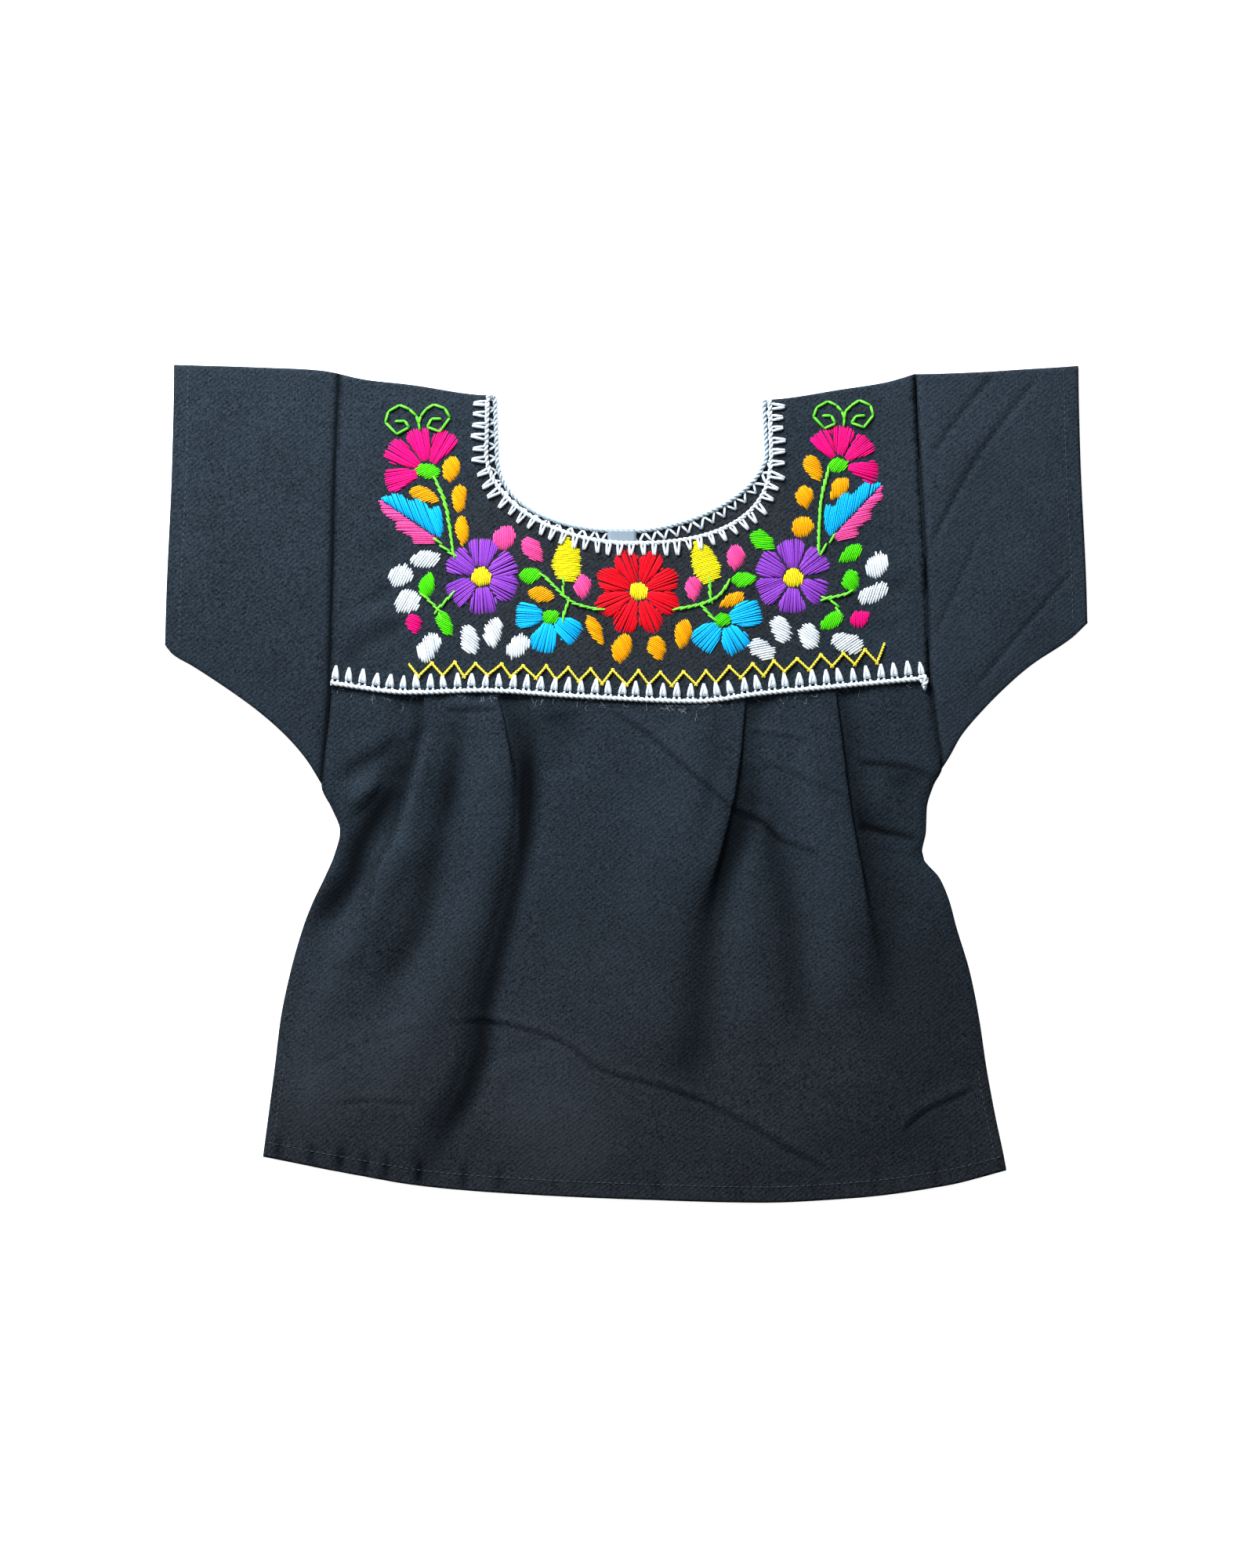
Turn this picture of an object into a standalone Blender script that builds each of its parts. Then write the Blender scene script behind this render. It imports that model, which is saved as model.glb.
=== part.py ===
"""Toddler's yoked blouse with raised flower embroidery, laid flat on its back.

X runs across the blouse, Y from the hem to the shoulders and Z up from the surface it lies on.
The origin is under the middle of the blouse. Every size and table here is in millimetres.
"""

from bisect import bisect_right
from collections import namedtuple
from math import cos, hypot, pi, radians, sin, tanh

import bmesh
import bpy
from mathutils import Vector
from mathutils.geometry import delaunay_2d_cdt

MM = 0.001

# Cloth layers: the back lies on the surface and the front lies on the back
WALL = 1.0
SEAM_GAP = 0.3
ARMHOLE_GAP = 0.5
LAYER_PITCH = 1.5
BACK_MID = WALL / 2
FRONT_MID = BACK_MID + LAYER_PITCH
FOLD_RADIUS = LAYER_PITCH / 2
TURNED_EDGE = FOLD_RADIUS * (pi / 2 - 1)

# Side lines of the body: the armhole seams down to the underarm, then the side seams to the hem
SideRow = namedtuple("SideRow", "y left_x right_x")
SIDE_LINES = (
    SideRow(-205, -178.5, 187.0),
    SideRow(-183, -176.2, 183.4),
    SideRow(-160, -173.2, 178.6),
    SideRow(-137, -170.2, 174.4),
    SideRow(-114, -167.4, 171.0),
    SideRow(-91, -162.6, 166.4),
    SideRow(-69, -156.3, 159.8),
    SideRow(-57, -151.6, 156.6),
    SideRow(-46, -146.3, 152.0),
    SideRow(-34, -141.2, 143.2),
    SideRow(-23, -138.6, 145.2),
    SideRow(-12, -142.6, 145.6),
    SideRow(-1, -147.6, 148.8),
    SideRow(8, -147.2, 153.0),
    SideRow(25, -145.6, 150.6),
    SideRow(42, -144.2, 148.4),
    SideRow(57, -143.8, 146.6),
    SideRow(101, -142.6, 145.4),
    SideRow(146, -141.6, 142.8),
    SideRow(199, -139.3, 139.6),
)

# The yoke seam, the hem and the shoulder folds, each as points across the blouse
LinePoint = namedtuple("LinePoint", "x y")
YOKE_SEAM = (
    LinePoint(-145, 48.5),
    LinePoint(-104, 43.6),
    LinePoint(-70, 44.6),
    LinePoint(-24, 41.8),
    LinePoint(34, 39.4),
    LinePoint(64, 43.0),
    LinePoint(104, 46.8),
    LinePoint(150, 51.0),
)
HEM = (
    LinePoint(-178, -180.4),
    LinePoint(-133, -189.0),
    LinePoint(-97, -195.0),
    LinePoint(-57, -198.3),
    LinePoint(4, -201.2),
    LinePoint(65, -202.8),
    LinePoint(110, -200.6),
    LinePoint(156, -194.4),
    LinePoint(186, -187.0),
)
SHOULDER_LINE = (
    LinePoint(-139.6, 198.6),
    LinePoint(-126, 195.6),
    LinePoint(-106, 193.4),
    LinePoint(-66, 188.0),
    LinePoint(66, 186.0),
    LinePoint(106, 191.2),
    LinePoint(126, 194.4),
    LinePoint(139.8, 198.4),
)

# Neck opening: straight sides below the shoulders, then two superellipse quarters
NECK_COLUMNS = "middle_x left right top_left top_right curve_top bottom power_left power_right"
NeckRow = namedtuple("NeckRow", NECK_COLUMNS)
FRONT_NECK = NeckRow(1.5, 69.4, 68.8, 67.0, 69.4, 160, 116.2, 1.9, 2.5)
BACK_NECK = NeckRow(2.0, 64.6, 66.0, 63.6, 66.6, 160, 122.2, 2.25, 1.75)
NECK_STEPS = 22
NECK_SIDE_SHARES = (0.3, 0.6, 0.86)

# Sleeves, from the armhole (0) to the cuff (1) along the folded top and the underarm curve
SleeveRow = namedtuple("SleeveRow", "along low_y top_y")
LEFT_SLEEVE = (
    SleeveRow(0.0, -0.4, 198.6),
    SleeveRow(0.1, 11.0, 200.0),
    SleeveRow(0.24, 22.6, 200.9),
    SleeveRow(0.41, 34.0, 201.4),
    SleeveRow(0.61, 45.4, 202.0),
    SleeveRow(0.83, 56.8, 202.5),
    SleeveRow(0.95, 62.4, 202.8),
    SleeveRow(1.0, 67.0, 202.9),
)
RIGHT_SLEEVE = (
    SleeveRow(0.0, 7.2, 198.4),
    SleeveRow(0.06, 13.2, 198.4),
    SleeveRow(0.16, 23.2, 198.6),
    SleeveRow(0.3, 34.2, 199.0),
    SleeveRow(0.46, 45.6, 199.6),
    SleeveRow(0.65, 57.6, 200.6),
    SleeveRow(0.9, 70.4, 201.8),
    SleeveRow(1.0, 77.6, 202.4),
)
CUFF_TOP_X, CUFF_MIDDLE_X, CUFF_LOW_X = 219.0, 222.0, 224.0
SLEEVE_PUFF = 0.9
SLEEVE_LIFT = 0.08
SLEEVE_STATIONS = 9
SLEEVE_POINTS = 11
SLEEVE_CROWDING = 1.5
SLEEVE_ROUNDING = 0.25

# Pleats: a box pleat on the left, two knife pleats on the right; side is the way a fold edge faces
PleatRow = namedtuple("PleatRow", "side seam_x chest_x waist_x hip_x hem_x")
PLEAT_HEIGHTS = PleatRow("y", 42, 0, -36, -90, -190)
PLEATS = (
    PleatRow(-1, -97.7, -104.0, -117.0, -127.0, -136.0),
    PleatRow(1, -61.9, -53.6, -51.6, -69.5, -96.0),
    PleatRow(1, 57.8, 53.8, 43.6, 34.6, 33.0),
    PleatRow(1, 101.5, 106.8, 113.4, 121.5, 128.0),
)
PLEAT_DEPTH = 8.0
PLEAT_OPEN_DROP = 46.0
PLEAT_OPENING = 12.0
PLEAT_LEAD = 3.0
STEP_END_DROP = 160.0
STEP_HALF_WIDTHS = (3.0, 9.0)
PANEL_COLUMNS = (4, 3, 7, 4, 3)
PANEL_SAG = 0.3
SKIRT_ROWS = 20
SKIRT_CROWDING = 1.4
BACK_STEPS = (24, 30)

# Soft folds of the front: positive heights are ridges, negative ones troughs
FoldRow = namedtuple("FoldRow", "start middle end width height")
FRONT_FOLDS = (
    FoldRow((-60, 24), (-46, -40), (-96, -178), 11, -2.2),
    FoldRow((-84, 10), (-78, -50), (-112, -150), 17, 1.5),
    FoldRow((-112, -8), (-132, -36), (-134, -70), 8, -1.7),
    FoldRow((-146, -4), (-128, 4), (-108, 22), 7, -1.3),
    FoldRow((-108, -60), (-118, -96), (-128, -128), 12, -1.1),
    FoldRow((54, 10), (36, -40), (32, -128), 12, -2.2),
    FoldRow((80, 14), (72, -50), (70, -140), 17, 1.3),
    FoldRow((68, -20), (82, -74), (76, -130), 9, -1.2),
    FoldRow((104, 20), (122, -60), (126, -140), 13, -1.8),
    FoldRow((143, -34), (124, -22), (108, -12), 6, -1.4),
    FoldRow((-20, 20), (-6, -60), (-10, -160), 34, 1.0),
    FoldRow((150, 3), (132, 10), (112, 12), 6, -0.9),
)
SKIRT_LOFT = 2.0
YOKE_LOFT = 0.8
SEAM_LOFT = 1.4
SIDE_FADE = 26.0
EDGE_LOFT = 0.35
HIGHEST_LOFT = 3.4
ROUND_OVER = 0.8
SEAM_RISE, HEM_FADE, SHOULDER_FADE = 30.0, 40.0, 14.0
FOLD_SAMPLES = 12

# The yoke's flat pattern: steps along its seams, points over the shoulder bend and a loose grid
YOKE_STEPS = (26, 9)
YOKE_GRID = 14
YOKE_DEEPEST = 150
SHOULDER_NEAR, SHOULDER_FAR = 76, 137
SHOULDER_BENDS = tuple(FOLD_RADIUS * pi / 2 * share for share in (1, 0.5, 0, -0.5, -1))
NECK_CLEARANCE, SATIN_CLEARANCE = 4.0, 2.5

# Raised embroidery
SATIN_HEIGHT = 0.9
SATIN_SHOULDER = 1.1
OutlineRow = namedtuple("OutlineRow", "along half_width")
PETAL = (
    OutlineRow(0.0, 0.42), OutlineRow(0.38, 0.8), OutlineRow(0.7, 1.0), OutlineRow(0.92, 0.66),
    OutlineRow(1.0, 0.0),
)
LEAF = (
    OutlineRow(0.0, 0.0), OutlineRow(0.18, 0.62), OutlineRow(0.5, 1.0), OutlineRow(0.82, 0.7),
    OutlineRow(1.0, 0.0),
)
WING = (
    OutlineRow(0.0, 0.0), OutlineRow(0.1, 0.78), OutlineRow(0.42, 1.0), OutlineRow(0.75, 0.5),
    OutlineRow(1.0, 0.04),
)

FlowerRow = namedtuple("FlowerRow", "x y inner reach width angles")
FLOWERS = (
    FlowerRow(6, 93, 5.4, 21.0, 12.0, (22, 67, 112, 157, 202, 247, 292, 337)),
    FlowerRow(-70, 100, 5.6, 17.6, 12.2, (25, 87, 147, 213, 273, 335)),
    FlowerRow(81, 99.5, 5.6, 17.8, 12.4, (36, 94, 153, 208, 266, 330)),
    FlowerRow(-96, 151, 4.6, 22.0, 10.6, (61, 103, 149, 194)),
    FlowerRow(103, 154, 4.4, 19.6, 10.2, (124, 83, 40, -12)),
    FlowerRow(-36.5, 81, 5.2, 17.0, 10.6, (188, 254, 316)),
    FlowerRow(47, 79, 5.0, 17.6, 10.6, (233, 300, 14)),
)
DiscRow = namedtuple("DiscRow", "x y radius")
FLOWER_CENTRES = (DiscRow(6, 93, 4.7), DiscRow(-70, 100, 4.9), DiscRow(81, 99.5, 4.9))
DISC_CORNERS = 8

LeafRow = namedtuple("LeafRow", "x y angle length width")
LEAVES = (
    LeafRow(-84.7, 152, 263, 13.5, 9.0), LeafRow(-80.8, 137.4, 269, 14.0, 7.8),
    LeafRow(-79.4, 122.2, 271, 14.6, 7.2), LeafRow(-97.5, 139.6, 340, 15.0, 7.6),
    LeafRow(90.6, 152.6, 300, 14.0, 9.0), LeafRow(86.6, 138.5, 275, 11.5, 9.6),
    LeafRow(85.1, 123.7, 240, 11.8, 11.0), LeafRow(103, 142.6, 235, 13.5, 8.4),
    LeafRow(-41, 91.4, 352, 13.4, 8.4), LeafRow(51.2, 88.6, 208, 13.6, 6.8),
    LeafRow(-15, 74, 297, 16.5, 7.4), LeafRow(-2, 65, 262, 15.0, 10.4),
    LeafRow(15, 65.4, 292, 12.8, 9.4), LeafRow(27.7, 72, 260, 15.0, 9.0),
    LeafRow(-97, 108.4, 185, 13.4, 8.0), LeafRow(-109, 100.5, 200, 11.8, 10.2),
    LeafRow(-106, 88, 15, 12.2, 10.4), LeafRow(-95.4, 66, 55, 15.0, 9.4),
    LeafRow(-75.6, 69.5, 97, 13.6, 8.6), LeafRow(-64.4, 73, 75, 13.6, 8.6),
    LeafRow(-52.3, 66.3, 42, 12.8, 9.0), LeafRow(121.2, 105.3, 55, 12.6, 10.0),
    LeafRow(119.4, 91.8, 25, 15.0, 8.4), LeafRow(107, 68, 348, 15.6, 9.6),
    LeafRow(88.5, 71, 100, 12.6, 9.4), LeafRow(75, 74.6, 108, 12.4, 9.0),
    LeafRow(65.6, 64.8, 145, 13.0, 9.0), LeafRow(-102.6, 77.2, 280, 9.6, 8.0),
    LeafRow(113.4, 80, 30, 10.4, 8.6), LeafRow(-58.6, 119, 60, 13.0, 11.4),
    LeafRow(-45, 113, 306, 15.0, 9.4), LeafRow(-21, 95, 268, 12.6, 9.0),
    LeafRow(32.6, 94, 275, 12.6, 9.0), LeafRow(53, 109.4, 268, 13.0, 9.4),
    LeafRow(-96.2, 96.2, 80, 13.0, 8.2), LeafRow(-87.6, 77.2, 298, 13.6, 8.0),
    LeafRow(-46, 100.6, 15, 11.4, 8.0), LeafRow(108.6, 111.2, 215, 13.6, 8.0),
    LeafRow(108.8, 98.4, 95, 11.6, 9.0), LeafRow(99.4, 78.5, 215, 13.2, 8.4),
    LeafRow(66, 117.4, 330, 14.0, 9.4), LeafRow(57, 98.8, 8, 12.4, 7.6),
    LeafRow(-96.4, 150, 170, 10.0, 6.6), LeafRow(103, 153.4, 15, 8.6, 6.6),
    LeafRow(-36.3, 80.6, 20, 9.0, 7.6), LeafRow(46.9, 79.2, 5, 9.0, 7.4),
    LeafRow(-28.6, 105, 88, 19.0, 12.6), LeafRow(37.4, 103, 110, 19.0, 12.8),
)
WingRow = namedtuple("WingRow", "x y angle length upper lower")
WINGS = (WingRow(-90.8, 118.4, 146, 34.0, -13.0, 8.4), WingRow(99.4, 119.4, 46, 35.0, 12.4, -8.4))
VEIN_GAP = 0.25
HAIR = 0.02

# Edging yarns and the label inside the back neck
EDGING_RADIUS = 0.9
EDGING_STAND_OFF = EDGING_RADIUS + SEAM_GAP
EDGING_STEP = 5.0
EDGING_RISE, EDGING_LIFT = 0.2, 0.05
YOKE_EDGING_REACH = (-143, 148, 6)
LABEL_WIDTH, LABEL_LENGTH, LABEL_THICKNESS = 14.0, 12.0, 0.4
LABEL_X, LABEL_TOP_Y = -2.0, 120.4

CLOTH_COLOUR = (0.028, 0.036, 0.045, 1.0)
YARN_COLOUR = (0.82, 0.87, 0.9, 1.0)
LABEL_COLOUR = (0.52, 0.58, 0.64, 1.0)


def mix(a, b, share):
    return a + (b - a) * share


def ease(low, high, value):
    """0 below low, 1 above high, and smooth between them."""
    share = min(1.0, max(0.0, (value - low) / (high - low)))
    return share * share * (3 - 2 * share)


def curve_through(points):
    """A smooth function through (x, y) points in rising x, which never overshoots them."""
    xs, ys = zip(*points)
    slopes = [(b - a) / (d - c) for a, b, c, d in zip(ys, ys[1:], xs, xs[1:])]
    inner = [0.0 if a * b <= 0 else 2 * a * b / (a + b) for a, b in zip(slopes, slopes[1:])]
    tangents = [slopes[0], *inner, slopes[-1]]

    def value(x):
        if x <= xs[0]:
            return ys[0]
        if x >= xs[-1]:
            return ys[-1]
        i = bisect_right(xs, x) - 1
        span = xs[i + 1] - xs[i]
        t = (x - xs[i]) / span
        start = ys[i] * (1 + 2 * t) * (1 - t) ** 2 + span * tangents[i] * t * (1 - t) ** 2
        end = ys[i + 1] * t * t * (3 - 2 * t) + span * tangents[i + 1] * t * t * (t - 1)
        return start + end

    return value


left_side = curve_through([(row.y, row.left_x) for row in SIDE_LINES])
right_side = curve_through([(row.y, row.right_x) for row in SIDE_LINES])
yoke_seam = curve_through(YOKE_SEAM)
hem_line = curve_through(HEM)
shoulder_line = curve_through(SHOULDER_LINE)


def bezier(start, middle, end, t):
    """A point on the quadratic curve that passes near middle."""
    return tuple(a * (1 - t) ** 2 + 2 * b * t * (1 - t) + c * t * t for a, b, c in zip(start, middle, end))


def fold_height(fold, x, y):
    """Height that one soft fold adds at a point: a rounded ridge that dies out at both ends."""
    nearest, place = 1e9, 0.0
    for i in range(FOLD_SAMPLES + 1):
        t = i / FOLD_SAMPLES
        px, py = bezier(fold.start, fold.middle, fold.end, t)
        distance = hypot(x - px, y - py)
        if distance < nearest:
            nearest, place = distance, t
    across = max(0.0, 1 - (nearest / (1.6 * fold.width)) ** 2)
    along = ease(0.0, 0.25, place + 0.12) * ease(0.0, 0.3, 1.06 - place)
    return fold.height * across * across * along


def side_distance(x, y):
    return min(x - left_side(y), right_side(y) - x)


def pleat_x(pleat, y):
    """Where a pleat's fold edge lies at height y."""
    places = sorted(zip(PLEAT_HEIGHTS[1:], pleat[1:]))
    return curve_through(places)(y)


def skirt_height(x, y, stack):
    """How far the front skirt's cloth stands above lying flat on the back.

    stack is the height that the pleats' layers add. Beside a pleat the cloth stays pressed flat, and
    the highest ridges round over, so the front never stands far off the back.
    """
    drop = yoke_seam(x) - y
    inner = ease(0.0, SIDE_FADE, side_distance(x, y))
    above_hem = mix(EDGE_LOFT, 1.0, ease(0.0, HEM_FADE, y - hem_line(x)))
    folds = sum(fold_height(fold, x, y) for fold in FRONT_FOLDS)
    open_loft = above_hem * max(0.0, SKIRT_LOFT + folds)
    loft = inner * mix(SEAM_LOFT, open_loft, ease(0.0, PLEAT_OPEN_DROP, drop))
    nearest = min(abs(x - pleat_x(pleat, y)) for pleat in PLEATS)
    pressed = ease(PLEAT_OPEN_DROP, 2 * PLEAT_OPEN_DROP, drop)
    height = stack + loft * mix(pressed, 1.0, ease(PLEAT_DEPTH, 2.5 * PLEAT_DEPTH, nearest))
    knee = HIGHEST_LOFT - ROUND_OVER
    return height if height < knee else knee + ROUND_OVER * tanh((height - knee) / ROUND_OVER)


def yoke_loft(x, y):
    inner = mix(EDGE_LOFT, 1.0, ease(0.0, SIDE_FADE, side_distance(x, y)))
    below_fold = ease(0.0, SHOULDER_FADE, shoulder_line(x) - y)
    near_seam = (SEAM_LOFT - YOKE_LOFT) * (1 - ease(0.0, SEAM_RISE, y - yoke_seam(x)))
    return inner * below_fold * (YOKE_LOFT + near_seam)


def material(name, colour, roughness):
    made = bpy.data.materials.new(name)
    made.use_nodes = True
    shader = made.node_tree.nodes["Principled BSDF"]
    shader.inputs["Base Color"].default_value = colour
    shader.inputs["Roughness"].default_value = roughness
    return made


def add_object(name, data, finish):
    made = bpy.data.objects.new(name, data)
    made.data.materials.append(finish)
    blouse.objects.link(made)
    return made


def wall_from_grid(name, rows, finish, ring=False):
    """A cloth wall on a grid of mid-surface points; a ring closes each row on itself."""
    mesh = bpy.data.meshes.new(name)
    shape = bmesh.new()
    verts = [[shape.verts.new(Vector(p) * MM) for p in row] for row in rows]
    count = len(rows[0])
    for lower, upper in zip(verts, verts[1:]):
        for i in range(count if ring else count - 1):
            j = (i + 1) % count
            shape.faces.new((lower[i], lower[j], upper[j], upper[i]))
    shape.to_mesh(mesh)
    shape.free()
    made = add_object(name, mesh, finish)
    solid = made.modifiers.new("cloth wall", "SOLIDIFY")
    solid.thickness = WALL * MM
    solid.offset = 0.0
    solid.use_even_offset = True
    made.data.shade_smooth()
    return made


def flat_piece(name, outline, low_z, thickness, finish):
    """A flat piece of cloth of even thickness on an outline in X and Y."""
    curve = bpy.data.curves.new(name, "CURVE")
    curve.dimensions = "2D"
    curve.fill_mode = "BOTH"
    curve.extrude = thickness / 2 * MM
    line = curve.splines.new("POLY")
    line.points.add(len(outline) - 1)
    for point, (x, y) in zip(line.points, outline):
        point.co = (x * MM, y * MM, 0, 1)
    line.use_cyclic_u = True
    made = add_object(name, curve, finish)
    made.location.z = (low_z + thickness / 2) * MM
    return made


def yarn(name, path, radius, finish, closed=False):
    curve = bpy.data.curves.new(name, "CURVE")
    curve.dimensions = "3D"
    curve.bevel_depth = radius * MM
    curve.bevel_resolution = 2
    curve.use_fill_caps = True
    line = curve.splines.new("POLY")
    line.points.add(len(path) - 1)
    for point, place in zip(line.points, path):
        point.co = (*(Vector(place) * MM), 1)
    line.use_cyclic_u = closed
    return add_object(name, curve, finish)


def pleat_section(drop):
    """(distance past the fold edge, height) through one pleat, from its lower to its upper layer.

    Near the seam the cloth doubles back under the box panel. Further down it opens to a soft step.
    """
    turn = FOLD_RADIUS
    depth = max(PLEAT_DEPTH * (1 - drop / PLEAT_OPEN_DROP), 2 * turn)
    folded = (
        (-PLEAT_LEAD, 0.0), (depth - turn, 0.0), (depth, turn), (depth - turn, 2 * turn),
        (turn, 2 * turn), (0.0, 3 * turn), (turn, 4 * turn), (turn + PLEAT_LEAD, 4 * turn),
    )
    opened = ease(PLEAT_OPEN_DROP * (1 - 2 * turn / PLEAT_DEPTH), PLEAT_OPEN_DROP + PLEAT_OPENING, drop)
    half_width = mix(*STEP_HALF_WIDTHS, ease(PLEAT_OPEN_DROP, STEP_END_DROP, drop))
    height = 4 * turn * (1 - ease(PLEAT_OPEN_DROP, STEP_END_DROP, drop))
    steps = len(folded) - 1
    section = []
    for i, (past, z) in enumerate(folded):
        share = i / steps
        ramp_past = half_width * (2 * share - 1)
        ramp_z = height * ease(0, 1, share)
        section.append((mix(past, ramp_past, opened), mix(z, ramp_z, opened)))
    return section


def skirt_section(y, drop):
    """(x, stack height) of every column of the front skirt at one height, from left to right."""
    section = pleat_section(drop)
    panels = []
    start = (left_side(y), 0.0)
    for pleat in PLEATS:
        edge = pleat_x(pleat, y)
        fold = [(edge - pleat.side * past, z) for past, z in section]
        if pleat.side > 0:
            fold.reverse()
        panels.append((start, fold[0]))
        panels.append(fold)
        start = fold[-1]
    panels.append((start, (right_side(y), 0.0)))
    columns = [panels[0][0]]
    plain = iter(PANEL_COLUMNS)
    for panel in panels:
        if isinstance(panel, list):
            columns += panel
            continue
        count = next(plain)
        (x0, z0), (x1, z1) = panel
        sag = PANEL_SAG if z0 and z1 else 0.0
        for i in range(1, count + 1):
            share = i / (count + 1)
            columns.append((mix(x0, x1, share), mix(z0, z1, share) * (1 - sag * sin(pi * share))))
    columns.append(panels[-1][1])
    return columns


def front_skirt(cloth):
    """Gathered lower front: a box pleat and two knife pleats that fall into soft folds."""
    rows = []
    for k in range(SKIRT_ROWS + 1):
        down = (k / SKIRT_ROWS) ** SKIRT_CROWDING
        middle_y = mix(yoke_seam(0), hem_line(0), down)
        drop = yoke_seam(0) - middle_y
        row = []
        for i, (x_guess, _) in enumerate(skirt_section(middle_y, drop)):
            y = mix(yoke_seam(x_guess) - SEAM_GAP, hem_line(x_guess), down)
            x, stack = skirt_section(y, drop)[i]
            row.append((x, y, FRONT_MID + skirt_height(x, y, stack)))
        rows.append(row)
    return wall_from_grid("front_skirt", rows, cloth)


def back_skirt(cloth):
    """Plain lower back, flat on the surface."""
    across, down = BACK_STEPS
    left_high, right_high = yoke_seam(left_side(50)) - SEAM_GAP, yoke_seam(right_side(50)) - SEAM_GAP
    left_low, right_low = hem_line(left_side(-180)), hem_line(right_side(-188))
    outline = []
    for i in range(across + 1):
        x = mix(left_side(left_high), right_side(right_high), i / across)
        outline.append((x, yoke_seam(x) - SEAM_GAP))
    right_ys = [mix(right_high, right_low, i / down) for i in range(1, down)]
    outline += [(right_side(y), y) for y in right_ys]
    for i in range(across + 1):
        x = mix(right_side(right_low), left_side(left_low), i / across)
        outline.append((x, hem_line(x)))
    left_ys = [mix(left_low, left_high, i / down) for i in range(1, down)]
    outline += [(left_side(y), y) for y in left_ys]
    return flat_piece("back_skirt", outline, 0.0, WALL, cloth)


def sleeve(name, side, table, cloth):
    """A flattened tube, folded along its top, from the armhole seam to the open cuff."""
    low_line = curve_through([(row.along, row.low_y) for row in table])
    top_line = curve_through([(row.along, row.top_y) for row in table])
    seam_x = left_side if side < 0 else right_side

    def place(along, up, z):
        low, top = low_line(along), top_line(along)
        y = mix(low, top, up)
        share = (y - low_line(1)) / (top_line(1) - low_line(1))
        cuff = mix(CUFF_LOW_X, mix(CUFF_MIDDLE_X, CUFF_TOP_X, ease(0, 1, share)), ease(-0.4, 0.6, share))
        return mix(seam_x(y) + side * ARMHOLE_GAP, side * cuff, along), y, z

    rings = []
    for station in range(SLEEVE_STATIONS):
        along = station / (SLEEVE_STATIONS - 1)
        height = top_line(along) - low_line(along)
        end = (FOLD_RADIUS + WALL / 2) / height
        tip = WALL / 2 / height
        steps = [(i / (SLEEVE_POINTS - 1)) ** SLEEVE_CROWDING for i in range(SLEEVE_POINTS)]
        ups = [mix(end, 1 - end, step) for step in steps]
        ring = [place(along, up, BACK_MID + SLEEVE_LIFT) for up in ups]
        ring.append(place(along, 1 - tip, BACK_MID + FOLD_RADIUS))
        for up in reversed(ups):
            puff = SLEEVE_PUFF * ease(0, SLEEVE_ROUNDING, up) * ease(0, SLEEVE_ROUNDING, 1 - up)
            ring.append(place(along, up, FRONT_MID + puff))
        ring.append(place(along, tip, BACK_MID + FOLD_RADIUS))
        rings.append(ring if side < 0 else ring[::-1])
    return wall_from_grid(name, rings, cloth, ring=True)


def neck_half(neck, side, grow, count):
    """Points of one side of a neckline from the bottom up to just below the shoulder."""
    half = (neck.left if side < 0 else neck.right) + grow
    top = (neck.top_left if side < 0 else neck.top_right) + grow
    power = neck.power_left if side < 0 else neck.power_right
    depth = neck.curve_top - neck.bottom + grow
    points = []
    for i in range(count + 1):
        angle = pi / 2 * i / count
        x = neck.middle_x + side * half * sin(angle) ** (2 / power)
        y = neck.curve_top - depth * cos(angle) ** (2 / power)
        points.append((x, y))
    for share in NECK_SIDE_SHARES:
        y = mix(neck.curve_top, shoulder_line(side * top), share)
        points.append((neck.middle_x + side * mix(half, top - side * neck.middle_x, share), y))
    return points


def neckline(neck, grow):
    """Points of a neckline from the left shoulder down round the neck to the right one."""
    left = neck_half(neck, -1, grow, NECK_STEPS // 2)
    right = neck_half(neck, 1, grow, NECK_STEPS // 2)
    return left[:0:-1] + right


def fold_over(x, q, lift):
    """A point of the yoke's flat pattern, folded over the shoulder.

    q is the distance along the cloth from the shoulder fold, positive on the front. lift moves the
    point out from the cloth's middle.
    """
    turn = FOLD_RADIUS * pi / 2
    top = shoulder_line(x) - WALL / 2
    centre = BACK_MID + FOLD_RADIUS
    radius = FOLD_RADIUS + lift
    if abs(q) <= turn:
        angle = q / FOLD_RADIUS
        return x, top - FOLD_RADIUS + radius * cos(angle), centre + radius * sin(angle)
    y = top - FOLD_RADIUS - (abs(q) - turn)
    if q > 0:
        return x, y, FRONT_MID + yoke_loft(x, y) + lift
    return x, y, BACK_MID - lift


def pattern_q(x, y, face):
    """Distance along the yoke's cloth from the shoulder fold; face is 1 on the front, -1 on the back."""
    return face * (shoulder_line(x) - WALL / 2 - y + TURNED_EDGE)


def shape_points(shape, along_scale, width_scale, one_side=0):
    """Outline of a satin-stitched shape about its base, with its axis along +X."""
    up = [(row.along * along_scale, row.half_width * width_scale) for row in shape]
    if one_side:
        return [(0.0, VEIN_GAP * one_side), *[(a, one_side * (VEIN_GAP + w)) for a, w in up[1:-1]],
                (along_scale, VEIN_GAP * one_side)]
    down = [(a, -w) for a, w in reversed(up) if w > 0]
    return up + down


def placed(points, x, y, angle):
    turn = radians(angle)
    return [(x + a * cos(turn) - b * sin(turn), y + a * sin(turn) + b * cos(turn)) for a, b in points]


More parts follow.
